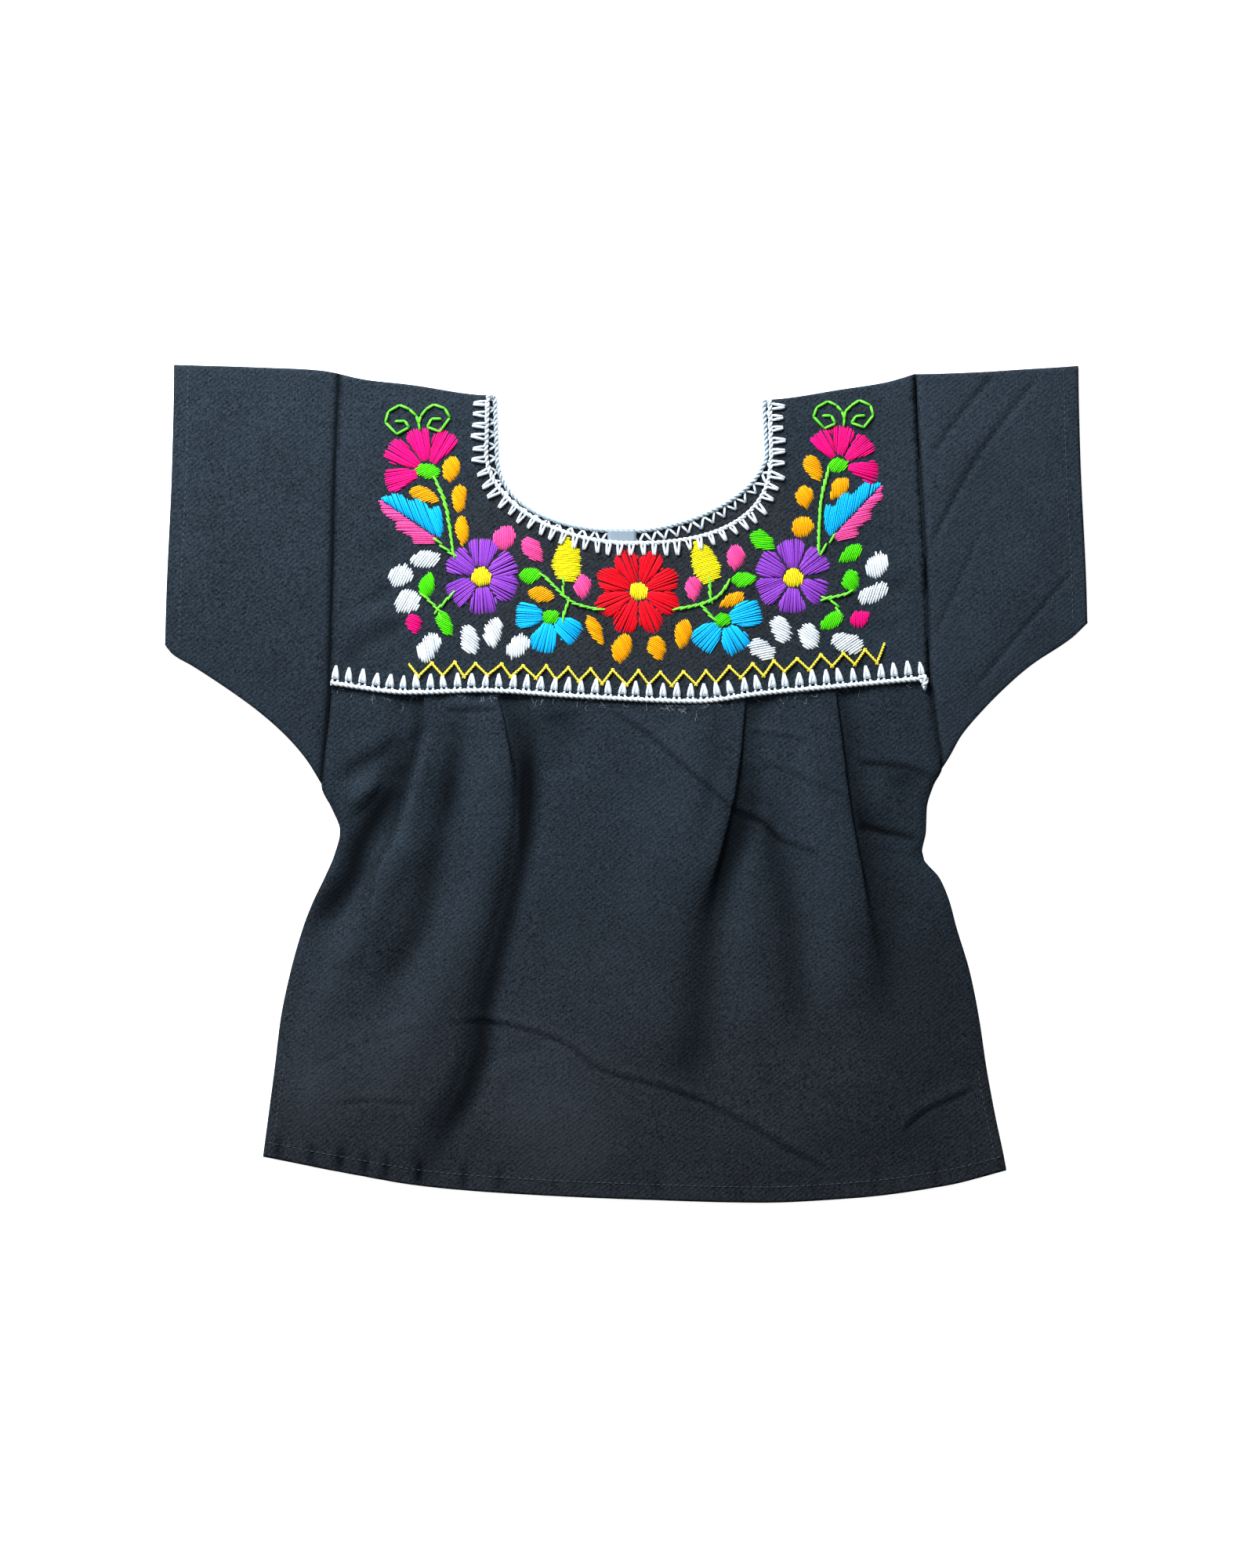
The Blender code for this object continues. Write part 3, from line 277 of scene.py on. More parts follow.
# Flowers: where, how far from the middle the petals start and end, their width, and their angles in degrees
FlowerRow = namedtuple("FlowerRow", "colour x y inner reach width angles")
FLOWERS = rows_of(
    FlowerRow,
    ("red", 6, 93, 4.2, 22.0, 13.2, (22, 67, 112, 157, 202, 247, 292, 337)),
    ("purple", -70, 100, 4.6, 18.2, 14.0, (25, 87, 147, 213, 273, 335)),
    ("purple", 81, 99.5, 4.6, 18.4, 14.0, (36, 94, 153, 208, 266, 330)),
    ("magenta", -96, 151, 4.6, 22.0, 12.6, (61, 103, 149, 194)),
    ("magenta", 103, 154, 4.4, 19.6, 12.0, (124, 83, 40, -12)),
    ("blue", -36.5, 81, 3.4, 17.4, 13.0, (178, 254, 322)),
    ("blue", 47, 79, 3.4, 18.0, 13.2, (226, 300, 14)),
)
FLOWER_CENTRES = ((6, 93, 4.9), (-70, 100, 5.1), (81, 99.5, 5.1))

# Leaves and buds by colour: the middle, the angle of the axis in degrees, and the size
LeafRow = namedtuple("LeafRow", "x y angle length width")
LEAVES = {
    "orange": (
        (-84.7, 152, 263, 13.5, 9.0), (-80.8, 137.4, 269, 14.0, 7.8), (-79.4, 122.2, 271, 14.6, 7.2),
        (-97.5, 139.6, 340, 15.0, 7.6), (90.6, 152.6, 300, 14.0, 9.0), (86.6, 138.5, 275, 11.5, 9.6),
        (85.1, 123.7, 240, 11.8, 11.0), (103, 142.6, 235, 13.5, 8.4), (-41, 91.4, 352, 13.4, 8.4),
        (51.2, 88.6, 208, 13.6, 6.8), (-15, 74, 297, 16.5, 7.4), (-2, 65, 262, 15.0, 10.4),
        (15, 65.4, 292, 12.8, 9.4), (27.7, 72, 260, 15.0, 9.0),
    ),
    "white": (
        (-97, 108.4, 185, 13.4, 8.0), (-109, 100.5, 200, 11.8, 10.2), (-106, 88, 15, 12.2, 10.4),
        (-95.4, 66, 55, 15.0, 9.4), (-75.6, 69.5, 97, 13.6, 8.6), (-64.4, 73, 75, 13.6, 8.6),
        (-52.3, 66.3, 42, 12.8, 9.0), (121.2, 105.3, 55, 12.6, 10.0), (119.4, 91.8, 25, 15.0, 8.4),
        (107, 68, 348, 15.6, 9.6), (88.5, 71, 100, 12.6, 9.4), (75, 74.6, 108, 12.4, 9.0),
        (65.6, 64.8, 145, 13.0, 9.0),
    ),
    "magenta": (
        (-102.6, 77.2, 280, 9.6, 8.0), (113.4, 80, 30, 10.4, 8.6),
    ),
    "pink": (
        (-58.6, 119, 60, 13.0, 11.4), (-45, 113, 306, 15.0, 9.4), (-21, 95, 268, 12.6, 9.0),
        (32.6, 94, 275, 12.6, 9.0), (53, 109.4, 268, 13.0, 9.4),
    ),
    "green": (
        (-96.2, 96.2, 80, 13.0, 8.2), (-87.6, 77.2, 298, 13.6, 8.0), (-46, 100.6, 15, 11.4, 8.0),
        (108.6, 111.2, 215, 13.6, 8.0), (108.8, 98.4, 95, 11.6, 9.0), (99.4, 78.5, 215, 13.2, 8.4),
        (66, 117.4, 330, 14.0, 9.4), (57, 98.8, 8, 12.4, 7.6), (-96.4, 151, 172, 12.8, 8.2),
        (103, 154, 15, 10.2, 7.6), (-36.3, 80.6, 20, 9.0, 7.6), (46.9, 79.2, 5, 9.0, 7.4),
    ),
    "yellow": (
        (-28.8, 108.8, 92, 22.5, 13.6), (37.8, 107.4, 113, 21.5, 13.6),
    ),
}
LEAF_SHAPES = {"white": RAGGED_LEAF, "yellow": BUD}
LEAF_SLANTS = {"orange": 38, "white": 46, "magenta": 60, "pink": 30, "green": 34, "yellow": 84}

# Two-coloured wings: the base, and a half on each side of the axis
WingRow = namedtuple("WingRow", "x y angle length upper lower")
WINGS = rows_of(
    WingRow,
    (-90.8, 118.4, 146, 34.0, -13.0, 8.4), (99.4, 119.4, 46, 35.0, 12.4, -8.4),
)

# Stems and vines, each a line of stem stitches, and the curled tendrils at the top of each spray
STEMS = (
    ((-92, 146.5), (-88.9, 139.3), (-86.3, 129.8), (-83.6, 111.2)),
    ((-91.2, 117.2), (-87, 113), (-84, 110.8)),
    ((97.7, 150.7), (94.6, 138.5), (93.5, 125.2), (93.1, 113.1)),
    ((99.6, 118.4), (97, 115), (95.4, 113.1)),
    ((-39.5, 100.1), (-34.2, 94.8), (-28.1, 89.1), (-22, 86.1), (-13.3, 84.2)),
    ((-30.4, 97.8), (-30.4, 92.9)),
    ((-28.1, 87.6), (-30.4, 80.4)),
    ((25.1, 84.6), (31.9, 85.7), (40.7, 88.4), (45.2, 91.4), (49, 96.3)),
    ((40.4, 97.6), (40.9, 89.9)),
    ((37.2, 85.3), (41.8, 80)),
    ((-84.7, 91), (-91.2, 84.2)),
    ((-97.3, 90.3), (-91.2, 84.2), (-89.7, 80.4)),
    ((96.9, 89.5), (102.6, 90.6), (107.5, 92.2)),
    ((96.9, 89.5), (101.1, 86.8), (103, 82.7)),
)
TendrilRow = namedtuple("TendrilRow", "x y size tilt side")
TENDRILS = rows_of(
    TendrilRow,
    (-109.8, 176.0, 6.6, 0, 1), (-91.8, 176.8, 6.4, 8, -1), (97.0, 178.2, 6.2, -4, 1),
    (113.8, 178.6, 6.2, 6, -1),
)
# One curl of straight stitches as corners about its middle, its size being 1
TENDRIL_CURL = ((1.42, -0.3), (1.22, 0.28), (0.74, 0.76), (0.02, 1.06), (-0.76, 0.58), (-0.98, -0.16),
                (-0.14, -1.06), (0.78, -0.62), (0.4, -0.06), (-0.3, -0.12))
TENDRIL_RADIUS, FORK_RADIUS = 0.64, 0.6
TENDRIL_FORKS = (((-100.3, 174.6), (-99.8, 170.6)), ((105.6, 176.6), (105.3, 172.6)))

# Gold zigzag of straight stitches above the seam
ZIGZAG_REACH, ZIGZAG_STITCHES, ZIGZAG_RISE, ZIGZAG_HALF = (-105.3, 121.5), 41, (10.6, 13.2), 3.1
ZIGZAG_LAST, ZIGZAG_CROSS = (124.8, 67.2), 0.8

# White edging yarn: cords of two plies and the teeth of blanket stitch that stand on them
PlyRow = namedtuple("PlyRow", "radius offset pitch step")
WHITE_PLY, GOLD_PLY = rows_of(PlyRow, (0.64, 0.62, 5.2, 0.8), (0.4, 0.3, 3.0, 0.5))
CORD_STAND_OFF, CORD_SUNK, CORD_STEP = 0.4, 0.4, 2.0
SEAM_CORD_REACH = (-142.8, 147.2)
CORD_TAIL = ((0, 0, 0.1), (-0.6, -1.6, 0.2), (-2.6, -1.6, 0.1), (-2.8, 0.4, 0.4), (-0.6, 0.6, 0.9),
             (-0.2, -2.2, 0.6), (-1.6, -4.0, 0.1), (-0.2, -4.9, -0.5))
# Painted shade: how much darker the neck cord is drawn where it lies low round the back neck
BACK_CORD_PAINTED_SHADE = 1.2

# Stitches repeated along a line: how far apart, their smallest and largest size, the most that one is
# turned, in radians, and the seeds of their shapes and of their places
StitchRow = namedtuple("StitchRow", "pitch smallest largest turn shape_seed place_seed")
STITCHES = {
    "seam_teeth": StitchRow(6.5, 0.92, 1.04, 0.06, 21, 5),
    "neck_teeth": StitchRow(5.45, 0.92, 1.1, 0.1, 22, 6),
    "back_neck_stitches": StitchRow(5.8, 0.9, 1.05, 0.08, 23, 7),
    "machine_stitching": StitchRow(2.9, 0.92, 1.08, 0.04, 24, 9),
    "stem_stitches": StitchRow(3.4, 0.85, 1.0, 0.05, 25, 8),
}
TEMPLATE_COUNT = 6
TOOTH_HEIGHT = 7.5

# Sewing thread and loose fibres
DASH_LENGTH, DASH_RADIUS = 1.9, 0.17
CUFF_STITCH_TOP, CUFF_STITCH_LOWS = 199.5, (70.0, 80.0)
VENT_STITCH_LOWS = (-175.0, -182.0)
LINT_COUNT, LINT_RADIUS, LINT_REACH, LINT_SPREAD = 90, 0.025, (-138, 142), 2.2
CUFF_STITCH_INSET, HEM_STITCH_RISE, VENT_STITCH_INSET, VENT_LENGTH = 7.0, 7.6, 4.5, 42.0

# Label inside the back neck, bare
LABEL_WIDTH, LABEL_LENGTH, LABEL_THICKNESS = 14.0, 13.2, 0.3
LABEL_X, LABEL_TOP_Y = -2.0, 123.4
LABEL_LIFT, LABEL_BOW, LABEL_POINTS = 1.3, 0.4, 9

# Camera straight above: the photograph's frame is this tall, about this middle
FRAME_HEIGHT = 760.0
FRAME_MIDDLE = (0.4, -0.2)
CAMERA_HEIGHT, SENSOR = 1500.0, 24.0

# Soft studio light: a low key from the upper left and a fill from above. Places and sizes are in metres
LampRow = namedtuple("LampRow", "name place size power tint")
LAMPS = rows_of(
    LampRow,
    ("key", (-0.4, 0.9, 0.54), 0.45, 31.0, (0.95, 1.0, 1.05)),
    ("top fill", (-0.1, 0.1, 2.2), 1.2, 5.0, (1.0, 1.0, 1.0)),
)
SKY_COLOUR, SKY_STRENGTH = (0.95, 0.98, 1.0, 1.0), 0.16
FLOOR_HALF, FLOOR_GLOW = 2500.0, 0.8

# Yarns and threads: their lighter and darker shade, and how rough, fuzzy and glossy they are
YarnRow = namedtuple("YarnRow", "name light dark roughness sheen gloss", defaults=(0.7, 0.0, 0.15))
YARNS = {
    "cord": YarnRow("white acrylic yarn", "#eaf2f8", "#a4b4c0", 0.8, 0.1),
    "red": YarnRow("red acrylic yarn", "#ff0424", "#c80012"),
    "purple": YarnRow("purple acrylic yarn", "#a452d6", "#6f28a0"),
    "magenta": YarnRow("magenta acrylic yarn", "#ff0a88", "#d00062"),
    "pink": YarnRow("pink acrylic yarn", "#ff62ac", "#de3682"),
    "orange": YarnRow("orange acrylic yarn", "#ffb800", "#e48e00"),
    "blue": YarnRow("blue acrylic yarn", "#0cc2ff", "#00a0e4"),
    "green": YarnRow("green acrylic yarn", "#5cee0c", "#36b800"),
    "stem": YarnRow("pale green acrylic yarn", "#7fec48", "#4cc01c"),
    "yellow": YarnRow("yellow acrylic yarn", "#fff61c", "#e0cc00"),
    "centre": YarnRow("deep yellow acrylic yarn", "#fff02c", "#e6c200"),
    "white": YarnRow("soft white acrylic yarn", "#fbfeff", "#bccad4", 0.75, 0.1),
    "gold": YarnRow("gold embroidery thread", "#ffea44", "#e6bc1c", 0.45, 0.0, 0.4),
    "grey": YarnRow("grey sewing thread", "#484c50", "#383c40", 0.6),
}


def mix(a, b, share):
    return a + (b - a) * share


def ease(low, high, value):
    """0 below low, 1 above high, and smooth between them."""
    share = np.clip((value - low) / (high - low), 0.0, 1.0)
    return share * share * (3 - 2 * share)


def curve_through(points):
    """A smooth function through (x, y) points in rising x, which never overshoots them."""
    xs, ys = (np.array(v, float) for v in zip(*points))
    slopes = np.diff(ys) / np.diff(xs)
    inner = [0.0 if a * b <= 0 else 2 * a * b / (a + b) for a, b in zip(slopes, slopes[1:])]
    tangents = np.array([slopes[0], *inner, slopes[-1]])

    def value(x):
        x = np.clip(x, xs[0], xs[-1])
        i = np.clip(np.searchsorted(xs, x, side="right") - 1, 0, len(xs) - 2)
        span = xs[i + 1] - xs[i]
        t = (x - xs[i]) / span
        start = ys[i] * (1 + 2 * t) * (1 - t) ** 2 + span * tangents[i] * t * (1 - t) ** 2
        end = ys[i + 1] * t * t * (3 - 2 * t) + span * tangents[i + 1] * t * t * (t - 1)
        return start + end

    return value


left_side = curve_through([(row.y, row.left_x) for row in SIDE_LINES])
right_side = curve_through([(row.y, row.right_x) for row in SIDE_LINES])
yoke_seam = curve_through(YOKE_SEAM)
hem_line = curve_through(HEM)
shoulder_line = curve_through(SHOULDER_LINE)
pleat_lines = [curve_through(pleat.line) for pleat in PLEATS]


def smooth_line(points, steps=8):
    """Points of a rounded line through the given ones."""
    given = np.array(points, float)
    given = np.vstack([2 * given[0] - given[1], given, 2 * given[-1] - given[-2]])
    t = np.linspace(0, 1, steps, endpoint=False)[:, None]
    spans = []
    for a, b, c, d in zip(given, given[1:], given[2:], given[3:]):
        cubic = 2 * b + (c - a) * t + (2 * a - 5 * b + 4 * c - d) * t ** 2 + (3 * b - a - 3 * c + d) * t ** 3
        spans.append(cubic / 2)
    return np.vstack([*spans, given[-2:-1]])


def beside(line, x, y):
    """Distance of points from a line, positive on its left, and how far along it they are, from 0 to 1."""
    steps = np.diff(line, axis=0)
    lengths = np.hypot(*steps.T)
    walked = np.concatenate([[0.0], np.cumsum(lengths)])
    nearest = np.full(np.shape(x), 1e9)
    side = np.ones(np.shape(x))
    place = np.zeros(np.shape(x))
    for (ax, ay), (sx, sy), length, before in zip(line, steps, lengths, walked):
        dx, dy = x - ax, y - ay
        t = np.clip((dx * sx + dy * sy) / length ** 2, 0, 1)
        ex, ey = dx - t * sx, dy - t * sy
        distance = np.hypot(ex, ey)
        nearer = distance < nearest
        nearest = np.where(nearer, distance, nearest)
        side = np.where(nearer, np.where(sx * ey - sy * ex >= 0, 1.0, -1.0), side)
        place = np.where(nearer, (before + t * length) / walked[-1], place)
    return nearest * side, place


def between(place, before, after):
    """1 along a line, and dying out at its ends."""
    return ease(*before, place) * ease(*after, 1 - place)


def fold_height(folds, x, y):
    """Height that soft folds add: rounded ridges and troughs that die out at their ends."""
    height = np.zeros(np.shape(x))
    for fold in folds:
        distance, place = beside(smooth_line(fold.points, 5), x, y)
        width = mix(*fold.widths, place)
        ends = between(place, *FOLD_ENDS)
        height += mix(*fold.heights, place) * np.exp(-(distance / width) ** 2) * ends
    return height


def crease_height(creases, x, y):
    """Height that pressed creases add: a narrow groove beside a low swelling."""
    height = np.zeros(np.shape(x))
    for crease in creases:
        distance, place = beside(smooth_line(crease.points, 5), x, y)
        ends = between(place, *CREASE_ENDS)
        groove = -crease.depth * np.exp(-(distance / crease.width) ** 2)
        beyond = distance * crease.raised - SWELL_PLACE * crease.width
        swell = SWELL_HEIGHT * crease.depth * np.exp(-(beyond / (SWELL_WIDTH * crease.width)) ** 2)
        height += (groove + swell) * ends
    return height


def pucker_height(x, y):
    """Short dips that the hem stitching draws up, dying out above it."""
    rise = y - hem_line(x)
    depth = sum(pucker.depth * np.exp(-((x - pucker.x - PUCKER_LEAN * rise) / PUCKER_WIDTH) ** 2)
                for pucker in HEM_PUCKERS)
    return -depth * ease(-2.0, 4.0, rise) * (1 - ease(6.0, PUCKER_HEIGHT, rise))


def unevenness(x, y, seed, size, height):
    """Gentle lumps of handled cloth, as a sum of seeded waves about size across."""
    random = np.random.default_rng(seed)
    total = np.zeros(np.shape(x))
    for _ in range(LUMP_WAVES):
        turn = random.uniform(0, 2 * np.pi)
        pace = 2 * np.pi / (size * random.uniform(*LUMP_SIZES))
        total += np.sin(pace * (x * np.cos(turn) + y * np.sin(turn)) + random.uniform(0, 2 * np.pi))
    return height * total / LUMP_WAVES ** 0.5


def side_distance(x, y):
    return np.minimum(x - left_side(y), right_side(y) - x)


def pleat_section(pleat, drop):
    """(distance past the fold edge, height) through one pleat, from its lower to its upper layer.

    Near the seam the cloth doubles back under the panel. Further down it opens to a soft step.
    """
    turn = mix(*LAYER_TURNS, ease(0, 40, drop))
    depth = max(PLEAT_DEPTH * (1 - drop / pleat.sharp), 2 * turn)
    bend = np.linspace(-np.pi / 2, np.pi / 2, 5)
    past = [[-PLEAT_LEAD, depth * 0.4], depth - turn + turn * np.cos(bend), turn - turn * np.cos(bend),
            [turn + PLEAT_LEAD / 2, turn + PLEAT_LEAD]]
    height = [[0, 0], turn + turn * np.sin(bend), 3 * turn + turn * np.sin(bend), [4 * turn, 4 * turn]]
    past, height = np.concatenate(past), np.concatenate(height)
    opened = ease(pleat.sharp * (1 - 2 * turn / PLEAT_DEPTH), pleat.sharp + PLEAT_OPENING, drop)
    fading = ease(pleat.sharp, pleat.soft, drop)
    share = np.linspace(0, 1, len(past))
    step_past = mix(*STEP_HALF_WIDTHS, fading) * (2 * share - 1)
    step_height = 4 * turn * (1 - fading) * ease(0, 1, share)
    return mix(past, step_past, opened), mix(height, step_height, opened)


def skirt_section(y, drop):
    """x and stacked height of every column of the front skirt at one height, from left to right."""
    xs, zs = [], []
    start_x, start_z = left_side(y), 0.0
    for panel, count in enumerate(PANEL_COLUMNS):
        if panel < len(PLEATS):
            pleat = PLEATS[panel]
            past, height = pleat_section(pleat, drop)
            fold_x = pleat_lines[panel](y) - pleat.side * past
            if pleat.side > 0:
                fold_x, height = fold_x[::-1], height[::-1]
            end_x, end_z = fold_x[0], height[0]
        else:
            end_x, end_z = right_side(y), 0.0
        share = np.arange(0 if panel == 0 else 1, count + 1) / (count + 1)
        both = ease(0.0, 1.0, min(start_z, end_z))
        beside_one = ease(0.5, 1.0, share) if end_z > start_z else ease(0.0, 0.5, share)
        rise = mix(beside_one, share, both)
        xs.append(mix(start_x, end_x, share))
        zs.append(mix(start_z, end_z, rise) * (1 - PANEL_SAG * both * np.sin(np.pi * share)))
        if panel < len(PLEATS):
            xs.append(fold_x)
            zs.append(height)
            start_x, start_z = fold_x[-1], height[-1]
        else:
            xs.append([end_x])
            zs.append([0.0])
    return np.concatenate(xs), np.concatenate(zs)


def skirt_height(x, y, stack):
    """Height of the front skirt's middle surface over the table."""
    drop = yoke_seam(x) - y
    edge = side_distance(x, y)
    inner = ease(0.0, SIDE_FADE, edge)
    above_hem = mix(EDGE_LOFT, 1.0, ease(0.0, HEM_FADE, y - hem_line(x)))
    loft = inner * mix(SEAM_LOFT, above_hem * SKIRT_LOFT, ease(0.0, PRESSED_DROP, drop))
    nearest = np.min([np.abs(x - line(y)) for line in pleat_lines], axis=0)
    pressed = ease(PRESSED_DROP, 2 * PRESSED_DROP, drop)
    loft = loft * mix(pressed, 1.0, ease(PLEAT_DEPTH, 2.5 * PLEAT_DEPTH, nearest))
    below_seam = ease(0.0, LOOSE_BELOW_SEAM, drop)
    loose = ease(*LOOSE_BESIDE_EDGE, edge) * below_seam * mix(LEAST_LOOSE, 1.0, above_hem)
    height = stack + loft + loose * DRAPE * fold_height(SKIRT_FOLDS, x, y)
    height = np.where(height < 0, TROUGH_FLOOR * height, height)
    knee = HIGHEST_LOFT - ROUND_OVER
    rounded = knee + ROUND_OVER * np.tanh(np.maximum(height - knee, 0) / ROUND_OVER)
    height = np.where(height < knee, height, rounded)
    height = height + crease_height(SKIRT_CREASES, x, y) * ease(0.0, 6.0, edge)
    height = height + unevenness(x, y, *LUMPS["skirt"]) * loose + unevenness(x, y, *LUMPS["skirt fine"])
    height = height + pucker_height(x, y)
    roll = SIDE_ROLL * np.exp(-(edge / SIDE_ROLL_WIDTH) ** 2)
    tuck = TUCK * ease(-TUCK_LENGTH, 0.0, -drop)
    lowest = BACK_MID + CLOTH + LEAST_GAP
    return np.maximum(FRONT_MID + height - roll - tuck, lowest)


def yoke_height(x, y):
    """Height of the front yoke's middle surface over the table."""
    edge = side_distance(x, y)
    inner = mix(EDGE_LOFT, 1.0, ease(0.0, SIDE_FADE, edge))
    below_fold = ease(0.0, SHOULDER_FADE, shoulder_line(x) - y)
    near_seam = (SEAM_LOFT - YOKE_LOFT) * (1 - ease(0.0, SEAM_RISE, y - yoke_seam(x)))
    loft = inner * (YOKE_LOFT + near_seam) + fold_height(YOKE_FOLDS, x, y) * ease(0.0, 8.0, edge)
    lumps = unevenness(x, y, *LUMPS["yoke"]) + unevenness(x, y, *LUMPS["yoke fine"])
    dip = YOKE_EDGE_DIP * np.exp(-(edge / DIP_WIDTH) ** 2)
    return FRONT_MID + below_fold * (loft + lumps - dip)


def seam_nap(x, y):
    """Painted shade: a dark line where the cloth turns down into the armhole seam."""
    return -ARMHOLE_PAINTED_SHADE * np.exp(-(side_distance(x, y) / ARMHOLE_WIDTH) ** 2)


def skirt_nap(x, y):
    """Painted shading: below 0 painted shade, in troughs, creases, puckers, at the underarm and beside
    pleats; above 0 painted light, on ridges; and painted patches of both.
    """
    drop = yoke_seam(x) - y
    folds = fold_height(SKIRT_FOLDS, x, y) * ease(0.0, 12.0, drop)
    nap = np.where(folds < 0, TROUGH_PAINTED_SHADE * folds, RIDGE_PAINTED_LIGHT * folds) + fold_height(SKIRT_PAINTED_SHADING, x, y)
    nap = nap + CREASE_PAINTED_SHADING * crease_height(SKIRT_CREASES, x, y) + PUCKER_PAINTED_SHADE * pucker_height(x, y)
    nap = nap + seam_nap(x, y) * ease(*UNDERARM, y)
    # Painted shadow beside each pleat's fold edge, from just below the seam until its step has died out
    for pleat, line in zip(PLEATS, pleat_lines):
        past = (x - line(y)) * pleat.side
        beside_edge = np.exp(-(np.maximum(past - 1.0, 0) / pleat.hollow) ** 2) * ease(-1.0, 0.4, past)
        down = ease(-4.0, 9.0, drop) * (1 - ease(0.7 * pleat.sharp, pleat.soft, drop))
        nap = nap - PLEAT_PAINTED_SHADE * beside_edge * down
    return nap


# Painted shading of the yoke: darker in its troughs and at the armhole seams, lighter on its ridges and
# towards the right
def yoke_nap(x, y):
    folds = fold_height(YOKE_FOLDS, x, y)
    nap = np.where(folds < 0, YOKE_TROUGH_PAINTED_SHADE * folds, YOKE_RIDGE_PAINTED_LIGHT * folds)
    return nap + seam_nap(x, y) * ease(*UNDERARM, y) + RIGHT_PAINTED_LIGHT * ease(*PAINTED_LIGHT_REACH, x)


# Painted shading of the sleeves: darker in creases and at the armhole seam, lighter beside creases and on the
# right sleeve
def sleeve_nap(x, y):
    return crease_height(SLEEVE_CREASES, x, y) + seam_nap(x, y) + RIGHT_PAINTED_LIGHT * ease(0, 1, x)


def link(name, data):
    made = bpy.data.objects.new(name, data)
    bpy.context.scene.collection.objects.link(made)
    return made


def settled(made):
    """Turns an object's modifiers into its plain mesh."""
    bpy.context.view_layer.update()
    depsgraph = bpy.context.evaluated_depsgraph_get()
    mesh = bpy.data.meshes.new_from_object(made.evaluated_get(depsgraph), depsgraph=depsgraph)
    made.modifiers.clear()
    made.data = mesh
    return made


def shell(name, points, faces, finish, thickness=CLOTH, nap=None):
    """A sheet about a middle surface; cloth has a painted shading value at every point and stays above the
    table.
    """
    mesh = bpy.data.meshes.new(name)
    mesh.from_pydata((np.asarray(points) * MM).tolist(), [], [tuple(face) for face in faces])
    if nap is not None:
        layer = mesh.attributes.new("nap", "FLOAT", "POINT")
        layer.data.foreach_set("value", nap.astype(np.float32))
    mesh.materials.append(finish)
    mesh.shade_smooth()
    made = link(name, mesh)
    wall = made.modifiers.new("thickness", "SOLIDIFY")
    wall.thickness = thickness * MM
    wall.offset = 0.0
    wall.use_even_offset = nap is not None
    settled(made)
    for vertex in made.data.vertices:
        vertex.co.z = max(vertex.co.z, 0.0)
    return made


def grid_faces(rows, columns, ring=False):
    """Faces of a grid of points in rising rows; a ring closes each row on itself."""
    row, column = np.meshgrid(np.arange(rows - 1), np.arange(columns if ring else columns - 1), indexing="ij")
    following = (column + 1) % columns
    start, end = row * columns, (row + 1) * columns
    corners = (start + column, start + following, end + following, end + column)
    return np.stack([corner.ravel() for corner in corners], axis=1).tolist()


def front_skirt(finish):
    """Gathered lower front: a box pleat and two knife pleats that fall into soft folds."""
    top = yoke_seam(0) + TUCK / 2
    grid = []
    for share in np.linspace(0, 1, SKIRT_ROWS):
        middle_y = mix(top, hem_line(0), share)
        drop = max(0.0, yoke_seam(0) - middle_y)
        guess_x, _ = skirt_section(middle_y, drop)
        ys = mix(yoke_seam(guess_x) + TUCK / 2, hem_line(guess_x), share)
        stack = []
        for i, y in enumerate(ys):
            if i % SECTION_STEP == 0 or i == len(ys) - 1:
                section = np.column_stack(skirt_section(y, drop))
            stack.append(section[i])
        xs, stack = np.array(stack).T
        grid.append(np.column_stack([xs, ys, skirt_height(xs, ys, stack)]))
    points = np.vstack(grid[::-1])
    faces = grid_faces(len(grid), len(grid[0]))
    # Painted shading of the front skirt, at every point
    return shell("front_skirt_cloth", points, faces, finish, nap=skirt_nap(points[:, 0], points[:, 1]))


def back_skirt(finish):
    """Plain lower back, flat on the table."""
    grid = []
    across = np.linspace(0, 1, BACK_COLUMNS)
    for share in np.linspace(0, 1, BACK_ROWS):
        left, right = (mix(side_x(low), side_x(50), share)
                       for side_x, low in zip((left_side, right_side), HEM_CORNERS))
        guess = mix(left, right, across)
        y = mix(hem_line(guess), yoke_seam(guess) - 0.05, share)
        x = mix(left_side(y), right_side(y), across)
        grid.append(np.column_stack([x, y, np.full(len(x), BACK_MID)]))
    points = np.vstack(grid)
    faces = grid_faces(BACK_ROWS, BACK_COLUMNS)
    return shell("back_skirt_cloth", points, faces, finish, nap=np.zeros(len(points)))


def cuff_line(share):
    """How far out the cuff lies, at a share of its height."""
    return mix(CUFF_LOW_X, mix(CUFF_MIDDLE_X, CUFF_TOP_X, ease(0, 1, share)), ease(-0.4, 0.6, share))


